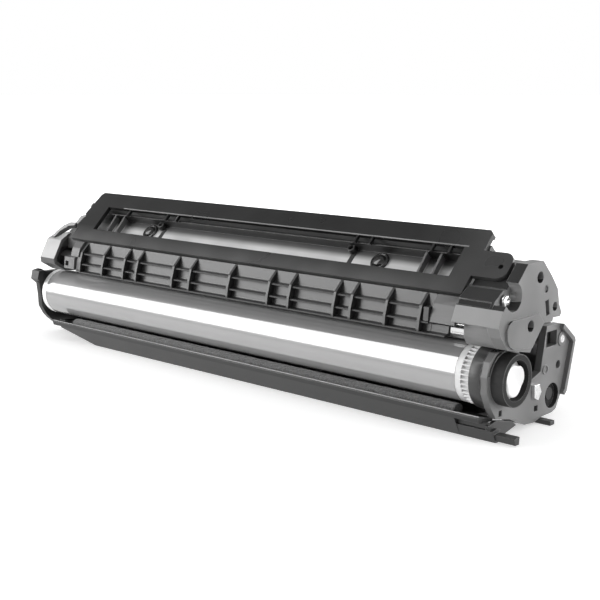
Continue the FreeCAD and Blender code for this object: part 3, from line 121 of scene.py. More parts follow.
def arithmetic(tree, operation, *values):
    node = tree.nodes.new("ShaderNodeMath")
    node.operation = operation
    for slot, value in enumerate(values):
        feed(tree, node.inputs[slot], value)
    return node.outputs[0]


def above(tree, value, limit):
    return arithmetic(tree, "GREATER_THAN", value, limit)


def below(tree, value, limit):
    return arithmetic(tree, "LESS_THAN", value, limit)


def all_of(tree, *masks):
    """A mask of the places that every one of these masks has."""
    whole = masks[0]
    for mask in masks[1:]:
        whole = arithmetic(tree, "MULTIPLY", whole, mask)
    return whole


def any_of(tree, *masks):
    """A mask of the places that at least one of these masks has."""
    whole = masks[0]
    for mask in masks[1:]:
        whole = arithmetic(tree, "MAXIMUM", whole, mask)
    return whole


def within(tree, value, low, high):
    return all_of(tree, above(tree, value, low), below(tree, value, high))


def place_parts(tree, kind="Object"):
    """The three parts of the surface's place on its piece, in metres."""
    where = tree.nodes.new("ShaderNodeTexCoord")
    parts = tree.nodes.new("ShaderNodeSeparateXYZ")
    tree.links.new(where.outputs[kind], parts.inputs[0])
    return parts.outputs["X"], parts.outputs["Y"], parts.outputs["Z"]


def facing(tree):
    """The direction in which the surface looks, on the piece itself, so it stays when the piece moves."""
    return place_parts(tree, "Normal")


def ramp_of(tree, value, stops):
    """A grey that follows a value through a few stops of (value, tone)."""
    node = tree.nodes.new("ShaderNodeValToRGB")
    line = node.color_ramp
    while len(line.elements) < len(stops):
        line.elements.new(1.0)
    for element, (place, tone) in zip(line.elements, stops):
        element.position = place
        element.color = grey(tone)
    tree.links.new(value, node.inputs[0])
    return node.outputs[0]


def tone_mix(tree, factor, low, high):
    """Two grey tones mixed by a factor that changes over the surface."""
    node = tree.nodes.new("ShaderNodeMix")
    node.data_type = "RGBA"
    for slot, tone in ((6, low), (7, high)):
        feed(tree, node.inputs[slot], grey(tone) if isinstance(tone, (int, float)) else tone)
    tree.links.new(factor, node.inputs[0])
    return node.outputs[2]


def spread(tree, value, low, high):
    """Maps the middle part of a noise onto a range of values."""
    node = tree.nodes.new("ShaderNodeMapRange")
    node.inputs["From Min"].default_value = 0.3
    node.inputs["From Max"].default_value = 0.7
    node.inputs["To Min"].default_value = low
    node.inputs["To Max"].default_value = high
    tree.links.new(value, node.inputs["Value"])
    return node.outputs["Result"]


def surface_noise(tree, scale, detail=2.0, rough=0.5, distortion=0.0, stretch=None):
    """Noise that stays on its piece; stretch gives its scale along each axis."""
    where = tree.nodes.new("ShaderNodeTexCoord").outputs["Object"]
    if stretch:
        drawn = tree.nodes.new("ShaderNodeMapping")
        drawn.inputs["Scale"].default_value = stretch
        tree.links.new(where, drawn.inputs[0])
        where = drawn.outputs[0]
    marks = tree.nodes.new("ShaderNodeTexNoise")
    feed(tree, marks.inputs["Scale"], scale)
    marks.inputs["Detail"].default_value = detail
    marks.inputs["Roughness"].default_value = rough
    marks.inputs["Distortion"].default_value = distortion
    tree.links.new(where, marks.inputs["Vector"])
    return marks.outputs["Fac"]


def picked(tree, mask, otherwise, chosen):
    """One shader where a mask is 0 and another where it is 1."""
    node = tree.nodes.new("ShaderNodeMixShader")
    for slot, value in enumerate((mask, otherwise, chosen)):
        tree.links.new(value, node.inputs[slot])
    return node.outputs[0]


# Studio

def in_scene(name, data):
    thing = bpy.data.objects.new(name, data)
    bpy.context.scene.collection.objects.link(thing)
    return thing


def make_camera():
    lens = bpy.data.cameras.new("studio_camera")
    lens.lens = FOCAL_LENGTH
    lens.sensor_width = SENSOR_WIDTH
    lens.clip_start = 0.01
    camera = in_scene("studio_camera", lens)
    right, up = Vector(CAMERA_RIGHT), Vector(CAMERA_UP)
    turn = Matrix((right, up, right.cross(up))).transposed().to_4x4()
    camera.matrix_world = Matrix.Translation(CAMERA_PLACE) @ turn
    bpy.context.scene.camera = camera


def make_lamp(name, place, target, size, power, mirrored, lights):
    light = bpy.data.lights.new(name, "AREA")
    light.shape = "RECTANGLE"
    light.size, light.size_y = size
    light.energy = power
    lamp = in_scene(name, light)
    lamp.location = place
    lamp.rotation_euler = (Vector(target) - Vector(place)).to_track_quat("-Z", "Y").to_euler()
    lamp.visible_glossy = mirrored
    lamp.visible_diffuse = lights


def make_room():
    """A white room for the camera; what the pieces mirror is bright low down and dim overhead."""
    world = bpy.data.worlds.new("white_room")
    bpy.context.scene.world = world
    world.use_nodes = True
    tree = world.node_tree
    tree.nodes.clear()
    seen = tree.nodes.new("ShaderNodeBackground")
    seen.inputs["Color"].default_value = grey(1)
    soft = tree.nodes.new("ShaderNodeBackground")
    mirrored = tree.nodes.new("ShaderNodeBackground")
    height = arithmetic(tree, "MULTIPLY_ADD", place_parts(tree, "Generated")[2], 0.5, 0.5)
    tree.links.new(ramp_of(tree, height, ROOM_LIGHT), soft.inputs["Color"])
    tree.links.new(ramp_of(tree, height, ROOM_MIRRORED), mirrored.inputs["Color"])
    path = tree.nodes.new("ShaderNodeLightPath")
    around = picked(tree, path.outputs["Is Glossy Ray"], soft.outputs[0], mirrored.outputs[0])
    whole = picked(tree, path.outputs["Is Camera Ray"], around, seen.outputs[0])
    tree.links.new(whole, tree.nodes.new("ShaderNodeOutputWorld").inputs[0])


def floor_finish():
    """White paper: it takes the shadow, and its own glow lifts it to the white of the room; in reflections it
    shows instead a painted glow, with painted shade at the object and a painted dark band further out.
    """
    material, tree, shader = new_finish("white_paper")
    shader.inputs["Base Color"].default_value = grey(0.82)
    shader.inputs["Roughness"].default_value = 0.7
    shader.inputs["Specular IOR Level"].default_value = 0.2
    where = tree.nodes.new("ShaderNodeTexCoord")
    distance = tree.nodes.new("ShaderNodeVectorMath")
    distance.operation = "DISTANCE"
    distance.inputs[1].default_value = PAPER_MIDDLE
    tree.links.new(where.outputs["Object"], distance.inputs[0])
    glow = tree.nodes.new("ShaderNodeEmission")
    tree.links.new(ramp_of(tree, distance.outputs["Value"], PAPER_GLOW), glow.inputs["Color"])
    # The paper as reflections see it is a painted glow: painted shade at and behind the object, and a painted
    # dark band further out.
    front = arithmetic(tree, "MULTIPLY_ADD", place_parts(tree)[1], -5.0, 0.0)
    mirrored = tree.nodes.new("ShaderNodeEmission")
    tree.links.new(ramp_of(tree, front, PAPER_PAINTED_REFLECTION), mirrored.inputs["Color"])
    nothing = tree.nodes.new("ShaderNodeEmission")
    nothing.inputs["Strength"].default_value = 0.0
    path = tree.nodes.new("ShaderNodeLightPath")
    lift = picked(tree, path.outputs["Is Camera Ray"], nothing.outputs[0], glow.outputs[0])
    both = tree.nodes.new("ShaderNodeAddShader")
    tree.links.new(shader.outputs[0], both.inputs[0])
    tree.links.new(lift, both.inputs[1])
    whole = picked(tree, path.outputs["Is Glossy Ray"], both.outputs[0], mirrored.outputs[0])
    tree.links.new(whole, tree.nodes["Material Output"].inputs["Surface"])
    return material


def make_stage():
    mesh = bpy.data.meshes.new("paper_floor")
    corners = ((-1, -1), (1, -1), (1, 1), (-1, 1))
    mesh.from_pydata([(across * FLOOR_REACH, back * FLOOR_REACH, FLOOR) for across, back in corners],
                     [], [(0, 1, 2, 3)])
    floor = in_scene("paper_floor", mesh)
    mesh.materials.append(floor_finish())
    for lamp in LAMPS:
        make_lamp(*lamp)
    bpy.context.scene.view_settings.view_transform = "Standard"


# Shared surface effects

def new_group(name, inputs, outputs):
    group = bpy.data.node_groups.new(name, "ShaderNodeTree")
    for label, kind, amount in inputs:
        socket = group.interface.new_socket(label, in_out="INPUT", socket_type=kind)
        socket.default_value = amount
    for label, kind in outputs:
        group.interface.new_socket(label, in_out="OUTPUT", socket_type=kind)
    start = group.nodes.new("NodeGroupInput")
    end = group.nodes.new("NodeGroupOutput")
    return group, start, end


def mould_grain_group():
    """Texture of a spark-eroded mould: fine pits for the bump, slow mottling for tone and gloss."""
    group, start, end = new_group(
        "mould_grain",
        [("Pit Scale", "NodeSocketFloat", 1400.0), ("Mottle Scale", "NodeSocketFloat", 55.0)],
        [("Pits", "NodeSocketFloat"), ("Mottle", "NodeSocketFloat")])
    pits = surface_noise(group, start.outputs["Pit Scale"], detail=3.0, rough=0.65)
    mottle = surface_noise(group, start.outputs["Mottle Scale"], detail=1.5)
    group.links.new(pits, end.inputs["Pits"])
    group.links.new(mottle, end.inputs["Mottle"])
    return group


def edge_wear_and_highlight_group():
    """Where edges are rubbed and carry a painted highlight: a mask from the turn of the surface, broken up by
    noise.
    """
    group, start, end = new_group(
        "edge_wear_and_highlight",
        [("Reach", "NodeSocketFloat", 0.0005), ("Break Scale", "NodeSocketFloat", 260.0)],
        [("Mask", "NodeSocketFloat"), ("Rounded", "NodeSocketVector")])
    rounded = group.nodes.new("ShaderNodeBevel")
    rounded.samples = 4
    group.links.new(start.outputs["Reach"], rounded.inputs["Radius"])
    surface = group.nodes.new("ShaderNodeNewGeometry")
    likeness = group.nodes.new("ShaderNodeVectorMath")
    likeness.operation = "DOT_PRODUCT"
    group.links.new(rounded.outputs["Normal"], likeness.inputs[0])
    group.links.new(surface.outputs["Normal"], likeness.inputs[1])
    bend = arithmetic(group, "SUBTRACT", 1.0, likeness.outputs["Value"])
    strong = arithmetic(group, "MULTIPLY", bend, 5.0)
    breaks = surface_noise(group, start.outputs["Break Scale"], detail=4.0)
    broken = arithmetic(group, "MULTIPLY_ADD", breaks, 1.6, -0.35)
    mask = arithmetic(group, "MULTIPLY", strong, broken)
    mask.node.use_clamp = True
    group.links.new(mask, end.inputs["Mask"])
    group.links.new(rounded.outputs["Normal"], end.inputs["Rounded"])
    return group


MOULD_GRAIN = mould_grain_group()
EDGE_WEAR_AND_HIGHLIGHT = edge_wear_and_highlight_group()


def place_group(tree, group, **amounts):
    """Places a group in a material with its own amounts."""
    node = tree.nodes.new("ShaderNodeGroup")
    node.node_tree = group
    for label, amount in amounts.items():
        node.inputs[label.replace("_", " ")].default_value = amount
    return node


def new_finish(name):
    material = bpy.data.materials.new(name)
    material.use_nodes = True
    tree = material.node_tree
    return material, tree, tree.nodes["Principled BSDF"]


def bumped(tree, shader, height, distance, strength, rounded=None):
    """Gives a finish its fine relief, on top of rounded edges where it has them."""
    bump = tree.nodes.new("ShaderNodeBump")
    bump.inputs["Distance"].default_value = distance
    bump.inputs["Strength"].default_value = strength
    tree.links.new(height, bump.inputs["Height"])
    if rounded is not None:
        tree.links.new(rounded, bump.inputs["Normal"])
    tree.links.new(bump.outputs[0], shader.inputs["Normal"])


# Finishes

def moulded_plastic(name, tone, worn_and_highlight_tone=None, gloss=(0.30, 0.42), depth=0.3, shine=0.5, dulled=None):
    """Moulding plastic, its tone a number or painted over the piece, its edges rubbed and given a painted
    highlight in a lighter tone.
    """
    material, tree, shader = new_finish(name)
    grain = place_group(tree, MOULD_GRAIN, Pit_Scale=MOULD_PITS, Mottle_Scale=MOULD_MOTTLES)
    dark, light = [tone(tree, share) if callable(tone) else tone * share for share in MOTTLING]
    shown = tone_mix(tree, spread(tree, grain.outputs["Mottle"], 0.0, 1.0), dark, light)
    rounded = None
    if worn_and_highlight_tone is not None:
        wear_and_highlight = place_group(tree, EDGE_WEAR_AND_HIGHLIGHT, Reach=RUBBED_AND_HIGHLIT_WIDTH, Break_Scale=RUBBED_AND_HIGHLIT_BREAKS)
        worn_and_highlit = arithmetic(tree, "MULTIPLY", wear_and_highlight.outputs["Mask"], WORN_AND_HIGHLIT_SHARE)
        # Painted highlight and rubbing: the edges turn to the lighter tone.
        shown = tone_mix(tree, worn_and_highlit, shown, worn_and_highlight_tone)
        rounded = wear_and_highlight.outputs["Rounded"]
    tree.links.new(shown, shader.inputs["Base Color"])
    rough = spread(tree, grain.outputs["Mottle"], *gloss)
    if dulled:
        rough = any_of(tree, rough, arithmetic(tree, "MULTIPLY", dulled(tree), DULL))
    tree.links.new(rough, shader.inputs["Roughness"])
    shader.inputs["IOR"].default_value = PLASTIC_IOR
    shader.inputs["Specular IOR Level"].default_value = shine
    bumped(tree, shader, grain.outputs["Pits"], 0.00004, depth, rounded)
    return material


def metal(name, tone, gloss=(0.2, 0.34), stretch=(1.0, 1.0, 1.0), scale=900.0, depth=0.2):
    """Plated or drawn metal, with fine marks that may run along one direction."""
    material, tree, shader = new_finish(name)
    marks = surface_noise(tree, scale, detail=4.0, stretch=stretch)
    tree.links.new(tone_mix(tree, spread(tree, marks, 0.0, 1.0), tone * 0.88, min(tone * 1.1, 0.98)),
                   shader.inputs["Base Color"])
    tree.links.new(spread(tree, marks, *gloss), shader.inputs["Roughness"])
    shader.inputs["Metallic"].default_value = 1.0
    bumped(tree, shader, marks, 0.00003, depth)
    return material


def drum_coat():
    """Clear organic coat over a bright tube: a mirror with faint rings from dipping and turning."""
    material, tree, shader = new_finish("drum_coat")
    rings = surface_noise(tree, 420.0, detail=3.0, stretch=(1.0, 0.03, 0.03))
    haze = surface_noise(tree, 18.0)
    tree.links.new(tone_mix(tree, spread(tree, haze, 0.0, 1.0), 0.43, 0.46), shader.inputs["Base Color"])
    tree.links.new(spread(tree, rings, 0.08, 0.12), shader.inputs["Roughness"])
    shader.inputs["Metallic"].default_value = 0.4
    shader.inputs["IOR"].default_value = COAT_IOR
    bumped(tree, shader, rings, 0.000002, 0.15)
    return material


def sleeve_coat():
    """Blasted dark metal, left bright and turned near its driven end."""
    material, tree, shader = new_finish("sleeve_coat")
    blasted_end = -35.5 * MM
    bare = above(tree, place_parts(tree)[0], blasted_end)
    blasting = surface_noise(tree, 2400.0)
    dull = tone_mix(tree, spread(tree, blasting, 0.0, 1.0), 0.22, 0.34)
    tree.links.new(tone_mix(tree, bare, dull, 0.85), shader.inputs["Base Color"])
    tree.links.new(arithmetic(tree, "MULTIPLY_ADD", bare, -0.34, 0.52), shader.inputs["Roughness"])
    shader.inputs["Metallic"].default_value = 1.0
    bumped(tree, shader, blasting, 0.00001, 0.4)
    return material


def felt_finish():
    """Pressed felt, its fibres in a fine uneven relief."""
    material, tree, shader = new_finish("pressed_felt")
    fibres = surface_noise(tree, 1100.0, detail=6.0, distortion=1.2)
    tree.links.new(tone_mix(tree, spread(tree, fibres, 0.0, 1.0), 0.03, 0.19), shader.inputs["Base Color"])
    shader.inputs["Roughness"].default_value = 0.95
    shader.inputs["Sheen Weight"].default_value = 0.3
    bumped(tree, shader, fibres, 0.0004, 0.7)
    return material


def rubber(name, tone, rough):
    """Dull rubber, foam or bound magnet powder, slightly mottled."""
    material, tree, shader = new_finish(name)
    grain = place_group(tree, MOULD_GRAIN, Pit_Scale=RUBBER_PITS, Mottle_Scale=RUBBER_MOTTLES)
    mottle = grain.outputs["Mottle"]
    tree.links.new(tone_mix(tree, spread(tree, mottle, 0.0, 1.0), tone * 0.8, tone * 1.2),
                   shader.inputs["Base Color"])
    tree.links.new(spread(tree, mottle, rough - 0.08, rough + 0.08), shader.inputs["Roughness"])
    bumped(tree, shader, grain.outputs["Pits"], 0.00003, 0.3)
    return material


# Tones painted over a piece, most of them painted light, shade, highlights and reflections; share scales them
# all, for the mottling

def reach_from(tree, across, up, middle=(0.0, 0.0)):
    """How far the surface is from a line along X through a middle that is given in millimetres."""
    beside = arithmetic(tree, "ADD", across, -middle[0] * MM)
    over = arithmetic(tree, "ADD", up, -middle[1] * MM)
    squares = arithmetic(tree, "MULTIPLY_ADD", over, over, arithmetic(tree, "MULTIPLY", beside, beside))
    return arithmetic(tree, "SQRT", squares)


COLLAR_START = -6.9 * MM    # from here to the driven end, the end plate is its collar


def plate_shaded_hollows(tree):
    """Where the end plate is in its own shade: its bore and round pocket, and less so the collar's end."""
    along, across, up = place_parts(tree)
    bore_floor, pocket_rim = -18 * MM, -7.2 * MM
    reach = reach_from(tree, across, up)
    bore = all_of(tree, below(tree, reach, 12.5 * MM), above(tree, along, bore_floor))
    pocket = all_of(tree, below(tree, reach_from(tree, across, up, (44.8, -17.4)), 6.9 * MM),
                    below(tree, along, pocket_rim))
    collar = all_of(tree, below(tree, reach, 13.6 * MM), above(tree, along, COLLAR_START))
    return any_of(tree, bore, pocket, arithmetic(tree, "MULTIPLY", collar, 0.6))


def plate_tones_and_painted_shade(tree, share):
    """The end plate: grey web, black collar, painted shade that makes its bore and round pocket black, and a
    darker gear cover behind the web.
    """
    along, across, up = place_parts(tree)
    web_back = -10.6 * MM
    collar = all_of(tree, below(tree, reach_from(tree, across, up), 13.3 * MM),
                    above(tree, along, COLLAR_START))
    web = tone_mix(tree, below(tree, along, web_back), 0.15 * share, 0.045 * share)
    # Painted shade: the bore and the round pocket are as black as the collar.
    return tone_mix(tree, any_of(tree, collar, plate_shaded_hollows(tree)), web, 0.010 * share)


def cap_slopes(tree):
    """The driven cap's sloping front faces, which take painted shade and a duller finish."""
    outward, backward, upward = facing(tree)
    return all_of(tree, below(tree, outward, 0.4), below(tree, backward, -0.25), above(tree, upward, 0.45))


def cap_painted_light_and_shade(tree, share):
    """The driven cap: painted light makes it paler in front, and painted shade makes its sloping front faces
    dark.
    """
    front = below(tree, facing(tree)[1], -0.5)
    # Painted light on the front faces, painted shade on the sloping front faces.
    return tone_mix(tree, cap_slopes(tree), tone_mix(tree, front, 0.15 * share, 0.21 * share), 0.02 * share)


def plain_cap_painted_light(tree, share):
    """The plain cap: painted light makes it paler where it looks up."""
    # Painted light on the faces that look up.
    return tone_mix(tree, above(tree, facing(tree)[2], 0.4), 0.085 * share, 0.42 * share)


def bin_painted_highlight(tree, share):
    """The waste bin, with a painted highlight as a light line along the chute's lip."""
    along, across, up = place_parts(tree)
    # Painted highlight along the chute's lip.
    lip_highlight = all_of(tree, below(tree, across, -14.75 * MM), within(tree, up, -16.95 * MM, -16.0 * MM))
    return tone_mix(tree, lip_highlight, 0.022 * share, 0.42 * share)


def rib_sides(tree):
    """The sides of the guard's ribs, which stand in each other's shade; they take painted shade and a duller
    finish.
    """
    return above(tree, arithmetic(tree, "ABSOLUTE", facing(tree)[0]), 0.6)


def guard_painted_shade(tree, share):
    """The ribbed guard, with painted shade that makes it dark between its ribs."""
    # Painted shade on the sides of the ribs.
    return tone_mix(tree, rib_sides(tree), 0.040 * share, 0.006 * share)


def slope_parts(tree):
    """The surface's place along X, up the slope from the frame's front edge, and down under the frame."""
    along, across, up = place_parts(tree)
    rise = arithmetic(tree, "ADD", up, across)
    drop = arithmetic(tree, "SUBTRACT", up, across)
    slope = arithmetic(tree, "MULTIPLY_ADD", rise, LEAN, -(FRAME_UP + FRAME_ACROSS) * LEAN * MM)
    depth = arithmetic(tree, "MULTIPLY_ADD", drop, -LEAN, (FRAME_UP - FRAME_ACROSS) * LEAN * MM)
    return along, slope, depth


def frame_painted_light(tree, share):
    """The window frame: painted light makes it paler towards its front and its tab, and painted highlights
    make light lines along two edges.
    """
    along, slope, depth = slope_parts(tree)
    tab_reach, window_start, window_end = 70 * MM, -307 * MM, -37 * MM
    way = arithmetic(tree, "MULTIPLY", slope, 1 / PAINTED_LIGHT_SPAN)
    # Painted light: paler towards the front of the slope, darker up it.
    rest = ramp_of(tree, way, ((0.0, 0.085 * share), (0.2, 0.055 * share), (0.45, 0.012 * share)))
    # Painted light: paler near the tab.
    near_tab = arithmetic(tree, "MULTIPLY_ADD", along, 1 / tab_reach, 1.0)
    whole = tone_mix(tree, ramp_of(tree, near_tab, ((0.0, 0.0), (0.62, 1.0))), rest, 0.045 * share)
    # Painted highlights: light lines along the window's top edge and the frame's front edge.
    window_edge_highlight = all_of(tree, within(tree, slope, 29.9 * MM, 30.7 * MM), below(tree, depth, 0.45 * MM),
                         within(tree, along, window_start, window_end))
    front_edge_highlight = below(tree, slope, 0.5 * MM)
    return tone_mix(tree, any_of(tree, window_edge_highlight, front_edge_highlight), whole, 0.24 * share)


def hopper_painted_light_and_shade(tree, share):
    """The hopper: a painted reflection makes its tray pale towards the front and dark towards the back, and
    painted shade makes the rail above the tray dark.
    """
    along, slope, depth = slope_parts(tree)
    tray = all_of(tree, within(tree, depth, 7.6 * MM, 12.5 * MM), within(tree, slope, 9.0 * MM, 31.4 * MM))
    rail = all_of(tree, within(tree, depth, 2.9 * MM, 8.9 * MM), within(tree, slope, 26.2 * MM, 28.0 * MM))
    # Painted reflection: the tray is pale towards the front and dark towards the back.
    way = arithmetic(tree, "MULTIPLY", slope, 1 / PAINTED_LIGHT_SPAN)
    tray_painted_reflection = ramp_of(tree, way, ((0.45, 0.70 * share), (0.62, 0.56 * share), (0.74, 0.09 * share),
                               (0.84, 0.02 * share)))
    # The tray takes the painted reflection, and the rail above it takes painted shade.
    return tone_mix(tree, tray, tone_mix(tree, rail, 0.10 * share, 0.012 * share), tray_painted_reflection)


FINISH = {
    "black_plastic": moulded_plastic("black_plastic", 0.030, 0.16),
    "dark_grey_plastic": moulded_plastic("dark_grey_plastic", 0.060, 0.24),
    "natural_plastic": moulded_plastic("natural_plastic", 0.84, 0.90, gloss=(0.28, 0.4), depth=0.15),
    "drum_coating": drum_coat(),
    "black_rubber": rubber("black_rubber", 0.03, 0.6),
    "blade_rubber": rubber("blade_rubber", 0.22, 0.4),
    "bright_steel": metal("bright_steel", 0.86, gloss=(0.16, 0.26), scale=500.0, depth=0.04),
    "black_steel": metal("black_steel", 0.05, gloss=(0.35, 0.5)),
    "sheet_steel": metal("sheet_steel", 0.6, gloss=(0.3, 0.45), stretch=(0.05, 1.0, 1.0)),
    "sleeve_metal": sleeve_coat(),
    "magnet": rubber("magnet", 0.05, 0.7),
    "felt": felt_finish(),
    "film": moulded_plastic("film", 0.05, 0.1, gloss=(0.12, 0.2), depth=0.05),
    "foam": rubber("foam", 0.06, 0.9),
    "light_plug": moulded_plastic("light_plug", 0.42, 0.6, gloss=(0.35, 0.5)),
}

NODE_FINISH = {
    "window_frame": moulded_plastic("frame_plastic", frame_painted_light, gloss=(0.27, 0.31), depth=0.08, shine=0.4),
    "rib_guard": moulded_plastic("guard_plastic", guard_painted_shade, gloss=(0.29, 0.33), shine=0.60,
                                 dulled=rib_sides),
    "hopper_shell": moulded_plastic("hopper_plastic", hopper_painted_light_and_shade, 0.26, shine=0.55),
    "hopper_drive_cap": moulded_plastic("drive_cap_plastic", cap_painted_light_and_shade, 0.42, shine=0.55,
                                        dulled=cap_slopes),
    "hopper_plain_cap": moulded_plastic("plain_cap_plastic", plain_cap_painted_light, 0.36),
    "drive_end_plate": moulded_plastic("drive_plate_plastic", plate_tones_and_painted_shade, 0.36, dulled=plate_shaded_hollows),
    "plain_end_plate": moulded_plastic("plain_plate_plastic", 0.02, 0.12),
    "waste_bin": moulded_plastic("bin_plastic", bin_painted_highlight, 0.18),
}


def dress_cad_nodes():
    """Gives every CAD node its own finish, or that of its slot."""
    slots = {part["node"]: part["material_slot"] for part in frame["record"]["subparts"]}
    for name, node in NODES.items():
        node.data.materials.clear()
        node.data.materials.append(NODE_FINISH.get(name) or FINISH[slots[name]])
    return slots


# Mouldings with the small roundings that a mould leaves on its edges

def welded(name):
    """A CAD node's surface as one joined mesh, with its flat faces whole again."""
    node = NODES[name]
    shape = bmesh.new()
    shape.from_mesh(node.data)
    shape.transform(node.matrix_world)
    bmesh.ops.remove_doubles(shape, verts=shape.verts, dist=0.002 * MM)
    bmesh.ops.dissolve_limit(shape, angle_limit=math.radians(0.8), verts=shape.verts, edges=shape.edges)
    return shape


def placed(name, shape, finish, body):
    """Puts a finished mesh into the scene as a piece that rides on its body."""
    mesh = bpy.data.meshes.new(name)
    shape.to_mesh(mesh)
    shape.free()
    piece = in_scene(name, mesh)
    mesh.materials.append(finish)
    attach(piece, body)
    return piece


def settled(piece):
    """Turns a piece's modifiers into plain mesh."""
    bpy.context.view_layer.update()
    seen = piece.evaluated_get(bpy.context.evaluated_depsgraph_get())
    mesh = bpy.data.meshes.new_from_object(seen)
    piece.modifiers.clear()
    piece.data = mesh


def softened(name, width, body):
    """The moulding again with rounded edges, in place of its CAD node."""
    piece = placed(name + "_moulded", welded(name), NODES[name].data.materials[0], body)
    rounding = piece.modifiers.new("rounding", "BEVEL")
    rounding.width = width
    rounding.segments = 2
    rounding.limit_method = "ANGLE"
    rounding.angle_limit = math.radians(28)
    rounding.use_clamp_overlap = True
    rounding.harden_normals = True
    settled(piece)
    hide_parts(name)


def soften_mouldings(slots):
    owners = {node: body for body, nodes in frame["record"]["behaviour"]["bodies"].items() for node in nodes}
    for name, width in ROUNDINGS.items():
        softened(name, width * MM, owners[name])


# Small pieces that are turned or formed

def turned(name, outline, centre, axis, finish, body, steps=40):
    """A lathe piece: the outline is (radius, height) from its foot to its top."""
    shape = bmesh.new()
    turn = Vector((0, 0, 1)).rotation_difference(Vector(axis)).to_matrix()
    rows = []
    for radius, height in outline:
        row = []
        for step in range(steps if radius > 0 else 1):
            angle = 2 * math.pi * step / steps
            spot = Vector((radius * math.cos(angle), radius * math.sin(angle), height)) * MM
            row.append(shape.verts.new(Vector(centre) * MM + turn @ spot))
        rows.append(row)
    for low, high in zip(rows, rows[1:]):
        for step in range(steps):
            after = (step + 1) % steps
            if len(high) == 1:
                shape.faces.new((low[step], low[after], high[0]))
            elif len(low) == 1:
                shape.faces.new((low[0], high[after], high[step]))
            else:
                shape.faces.new((low[step], low[after], high[after], high[step]))
    for face in shape.faces:
        face.smooth = True
    bmesh.ops.recalc_face_normals(shape, faces=shape.faces)
    piece = placed(name, shape, finish, body)
    piece.data.set_sharp_from_angle(angle=math.radians(50))
    return piece


def skinned(shape, rows, smooth=False):
    """Joins rows of points into a closed skin, with one face at each end."""
    for low, high in zip(rows, rows[1:]):
        for place in range(len(low)):
            after = (place + 1) % len(low)
            face = shape.faces.new((low[place], low[after], high[after], high[place]))
            face.smooth = smooth
    shape.faces.new(rows[0][::-1])
    shape.faces.new(rows[-1])
    bmesh.ops.recalc_face_normals(shape, faces=shape.faces)


def drawn_bar(name, outline, start, end, finish, body):
    """A bar along X with the given outline across it, its edges rounded."""
    shape = bmesh.new()
    near = [shape.verts.new(Vector((start, across, up)) * MM) for across, up in outline]
    far = [shape.verts.new(Vector((end, across, up)) * MM) for across, up in outline]
    shape.faces.new(near)
    shape.faces.new(far[::-1])
    for index in range(len(outline)):
        after = (index + 1) % len(outline)
        shape.faces.new((near[index], far[index], far[after], near[after]))
    bmesh.ops.recalc_face_normals(shape, faces=shape.faces)
    bmesh.ops.bevel(shape, geom=list(shape.edges), offset=BAR_ROUNDING * MM, segments=2, profile=0.5,
                    affect="EDGES", clamp_overlap=True)
    placed(name, shape, finish, body)


def on_frame(slope, depth):
    """A place under the sloping frame, from its front edge up the slope and down into it."""
    return FRAME_ACROSS + (slope + depth) * LEAN, FRAME_UP + (slope - depth) * LEAN


def make_plugs(finish):
    """Domed plugs pressed into the tray."""
    dome = ((0, -0.4), (5.5, -0.4), (5.5, 0.7), (5.1, 1.2), (4.4, 1.3), (4.1, 0.8), (3.9, 0.9), (3.6, 1.6),
            (2.9, 2.2), (1.9, 2.6), (0.9, 2.75), (0, 2.8))
    across, up = on_frame(20.4, 9.0)
    for name, along in (("access_plug_drive", -92.4), ("access_plug_plain", -279.5)):
        plug = turned(name, dome, (along, across, up), OUT_OF_FRAME, finish, "hopper_unit")
        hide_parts("access_plugs")


def make_bosses(finish):
    """Round screw bosses that stand on the tray in front of the rail."""
    tube = ((0, 0), (2.7, 0), (2.5, 3.6), (2.2, 3.8), (1.5, 3.8), (1.3, 3.6), (1.3, 0.6), (0, 0.6))
    across, up = on_frame(25.4, 9.6)
    for name, along in (("ring_boss_drive", -113.5), ("ring_boss_plain", -271.0)):
        turned(name, tube, (along, across, up), OUT_OF_FRAME, finish, "hopper_unit",
               steps=28)


def make_cap_screw(finish):
    """Pan head with a driver's recess in its middle."""
    low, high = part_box("cap_screw")
    middle = [(low[i] + high[i]) / 2 / MM for i in range(3)]
    radius = (high[1] - low[1]) / 2 / MM
    head = ((0, -1.5), (radius, -1.5), (radius, -0.5), (radius * 0.86, -0.12), (radius * 0.6, 0.0),
            (radius * 0.42, -0.05), (radius * 0.3, -0.6), (0, -0.9))
    screw = turned("cap_screw_head", head, (high[0] / MM, middle[1], middle[2]), (1, 0, 0), finish,
                   "hopper_unit")
    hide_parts("cap_screw")


def make_coupling():
    """The drum's driven flange; its coupling has three blunt corners, a twist and a rounded rim."""
    steps = 72
    foot, length = -5, 4
    first_corner, twist = -12.5, 36
    middle_radius, corner, blunting = 8.05, 0.65, 0.14
    shape = welded("drum_drive_flange")
    prism = [face for face in shape.faces
             if all(point.co.x > -5.05 * MM and math.hypot(point.co.y, point.co.z) < 9.6 * MM
                    for point in face.verts)]
    bmesh.ops.delete(shape, geom=prism, context="FACES")
    edges = [edge for edge in shape.edges if edge.is_boundary]
    bmesh.ops.holes_fill(shape, edges=edges, sides=0)
    # Where each row of points lies along X, and how far it is drawn in at the rim and the end's dish
    layers = ((-5.4, 0.0), (-4.6, 0.0), (-3.8, 0.0), (-3.0, 0.0), (-2.3, 0.0), (-1.75, 0.12), (-1.35, 0.38),
              (-1.1, 0.75), (-1.02, 1.2), (-1.12, 2.4), (-1.3, 4.6))
    rows = []
    for along, inset in layers:
        first = math.radians(first_corner + twist * (along - foot) / length)
        row = []
        for step in range(steps):
            angle = 2 * math.pi * step / steps
            swell = corner * math.cos(3 * (angle - first)) - blunting * math.cos(6 * (angle - first))
            radius = middle_radius + swell - inset
            row.append(shape.verts.new(Vector((along, radius * math.cos(angle),
                                               radius * math.sin(angle))) * MM))
        rows.append(row)
    skinned(shape, rows, smooth=True)
    piece = placed("drive_flange_moulded", shape, FINISH["natural_plastic"], "drum")
    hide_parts("drum_drive_flange")


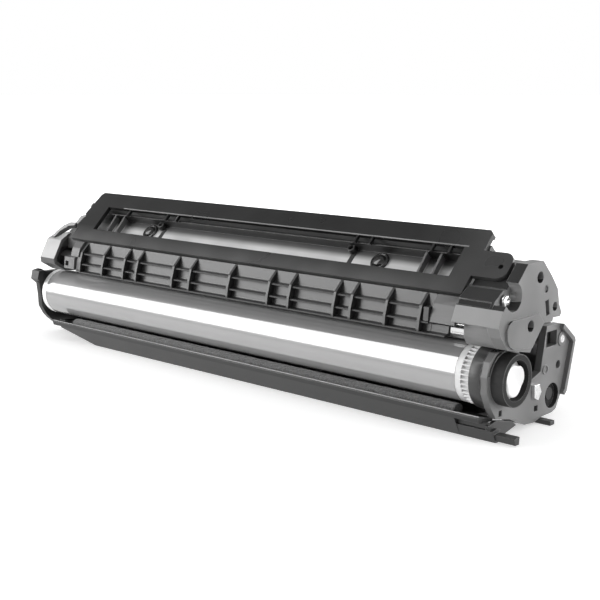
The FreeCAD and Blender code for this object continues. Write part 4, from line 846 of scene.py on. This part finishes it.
def make_felt():
    """The felt strip with its pile standing up behind the chute's lip."""
    shape = bmesh.new()
    outline = ((-12.62, -17.18), (-12.35, -15.9), (-11.2, -15.1), (-9.6, -14.6), (-7.8, -14.5), (-5.9, -15.3),
               (-4.85, -16.6), (-5.12, -18.92))
    start, length, steps = -335.0, 307.5, 240
    tuft, pile = 0.9, 0.28
    rows = []
    for step in range(steps + 1):
        along = start + length * step / steps
        row = []
        for place, (across, up) in enumerate(outline):
            lift = noise.noise(Vector((along, across, up)) * tuft) * pile if 1 < place < 6 else 0.0
            row.append(shape.verts.new(Vector((along, across, up + lift)) * MM))
        rows.append(row)
    skinned(shape, rows)
    piece = placed("felt_pile", shape, FINISH["felt"], "drum_unit")
    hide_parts("felt_strip")


def make_web():
    """A web under the chute at its driven end."""
    outline = ((-11.7, -19.6), (-10.9, -19.6), (-10.9, -23.2), (-11.7, -23.2))
    drawn_bar("chute_web", outline, -32.0, -7.6, FINISH["black_plastic"], "drum_unit")


def make_tongue():
    """The guard's lowest ledge runs on under the cheek."""
    outline = ((-12.7, 24.2), (-13.5, 20.4), (-16.7, 20.0), (-16.7, 19.2), (-11.9, 19.2), (-11.1, 24.2))
    drawn_bar("guard_tongue", outline, -41.4, -31.0, NODE_FINISH["rib_guard"], "hopper_unit")


def make_tray_ridges():
    """Low ribs across the tray beside the plugs, in black that stands in for the shade there."""
    outline = [on_frame(12.5, 10.9), on_frame(12.5, 8.9), on_frame(24.0, 8.8), on_frame(24.0, 9.6)]
    width = 3.2
    for name, start in (("tray_shade_rib_drive", -110.5), ("tray_shade_rib_plain", -266.5)):
        # The ribs' black is painted shade beside the plugs.
        drawn_bar(name, outline, start, start - width, NODE_FINISH["plain_end_plate"], "hopper_unit")


make_camera()
make_room()
make_stage()
soften_mouldings(dress_cad_nodes())
make_plugs(moulded_plastic("plug_plastic", 0.018, 0.10, gloss=(0.10, 0.16), depth=0.06, shine=0.8))
make_bosses(NODE_FINISH["plain_end_plate"])
make_cap_screw(FINISH["bright_steel"])
make_coupling()
make_felt()
make_web()
make_tongue()
make_tray_ridges()
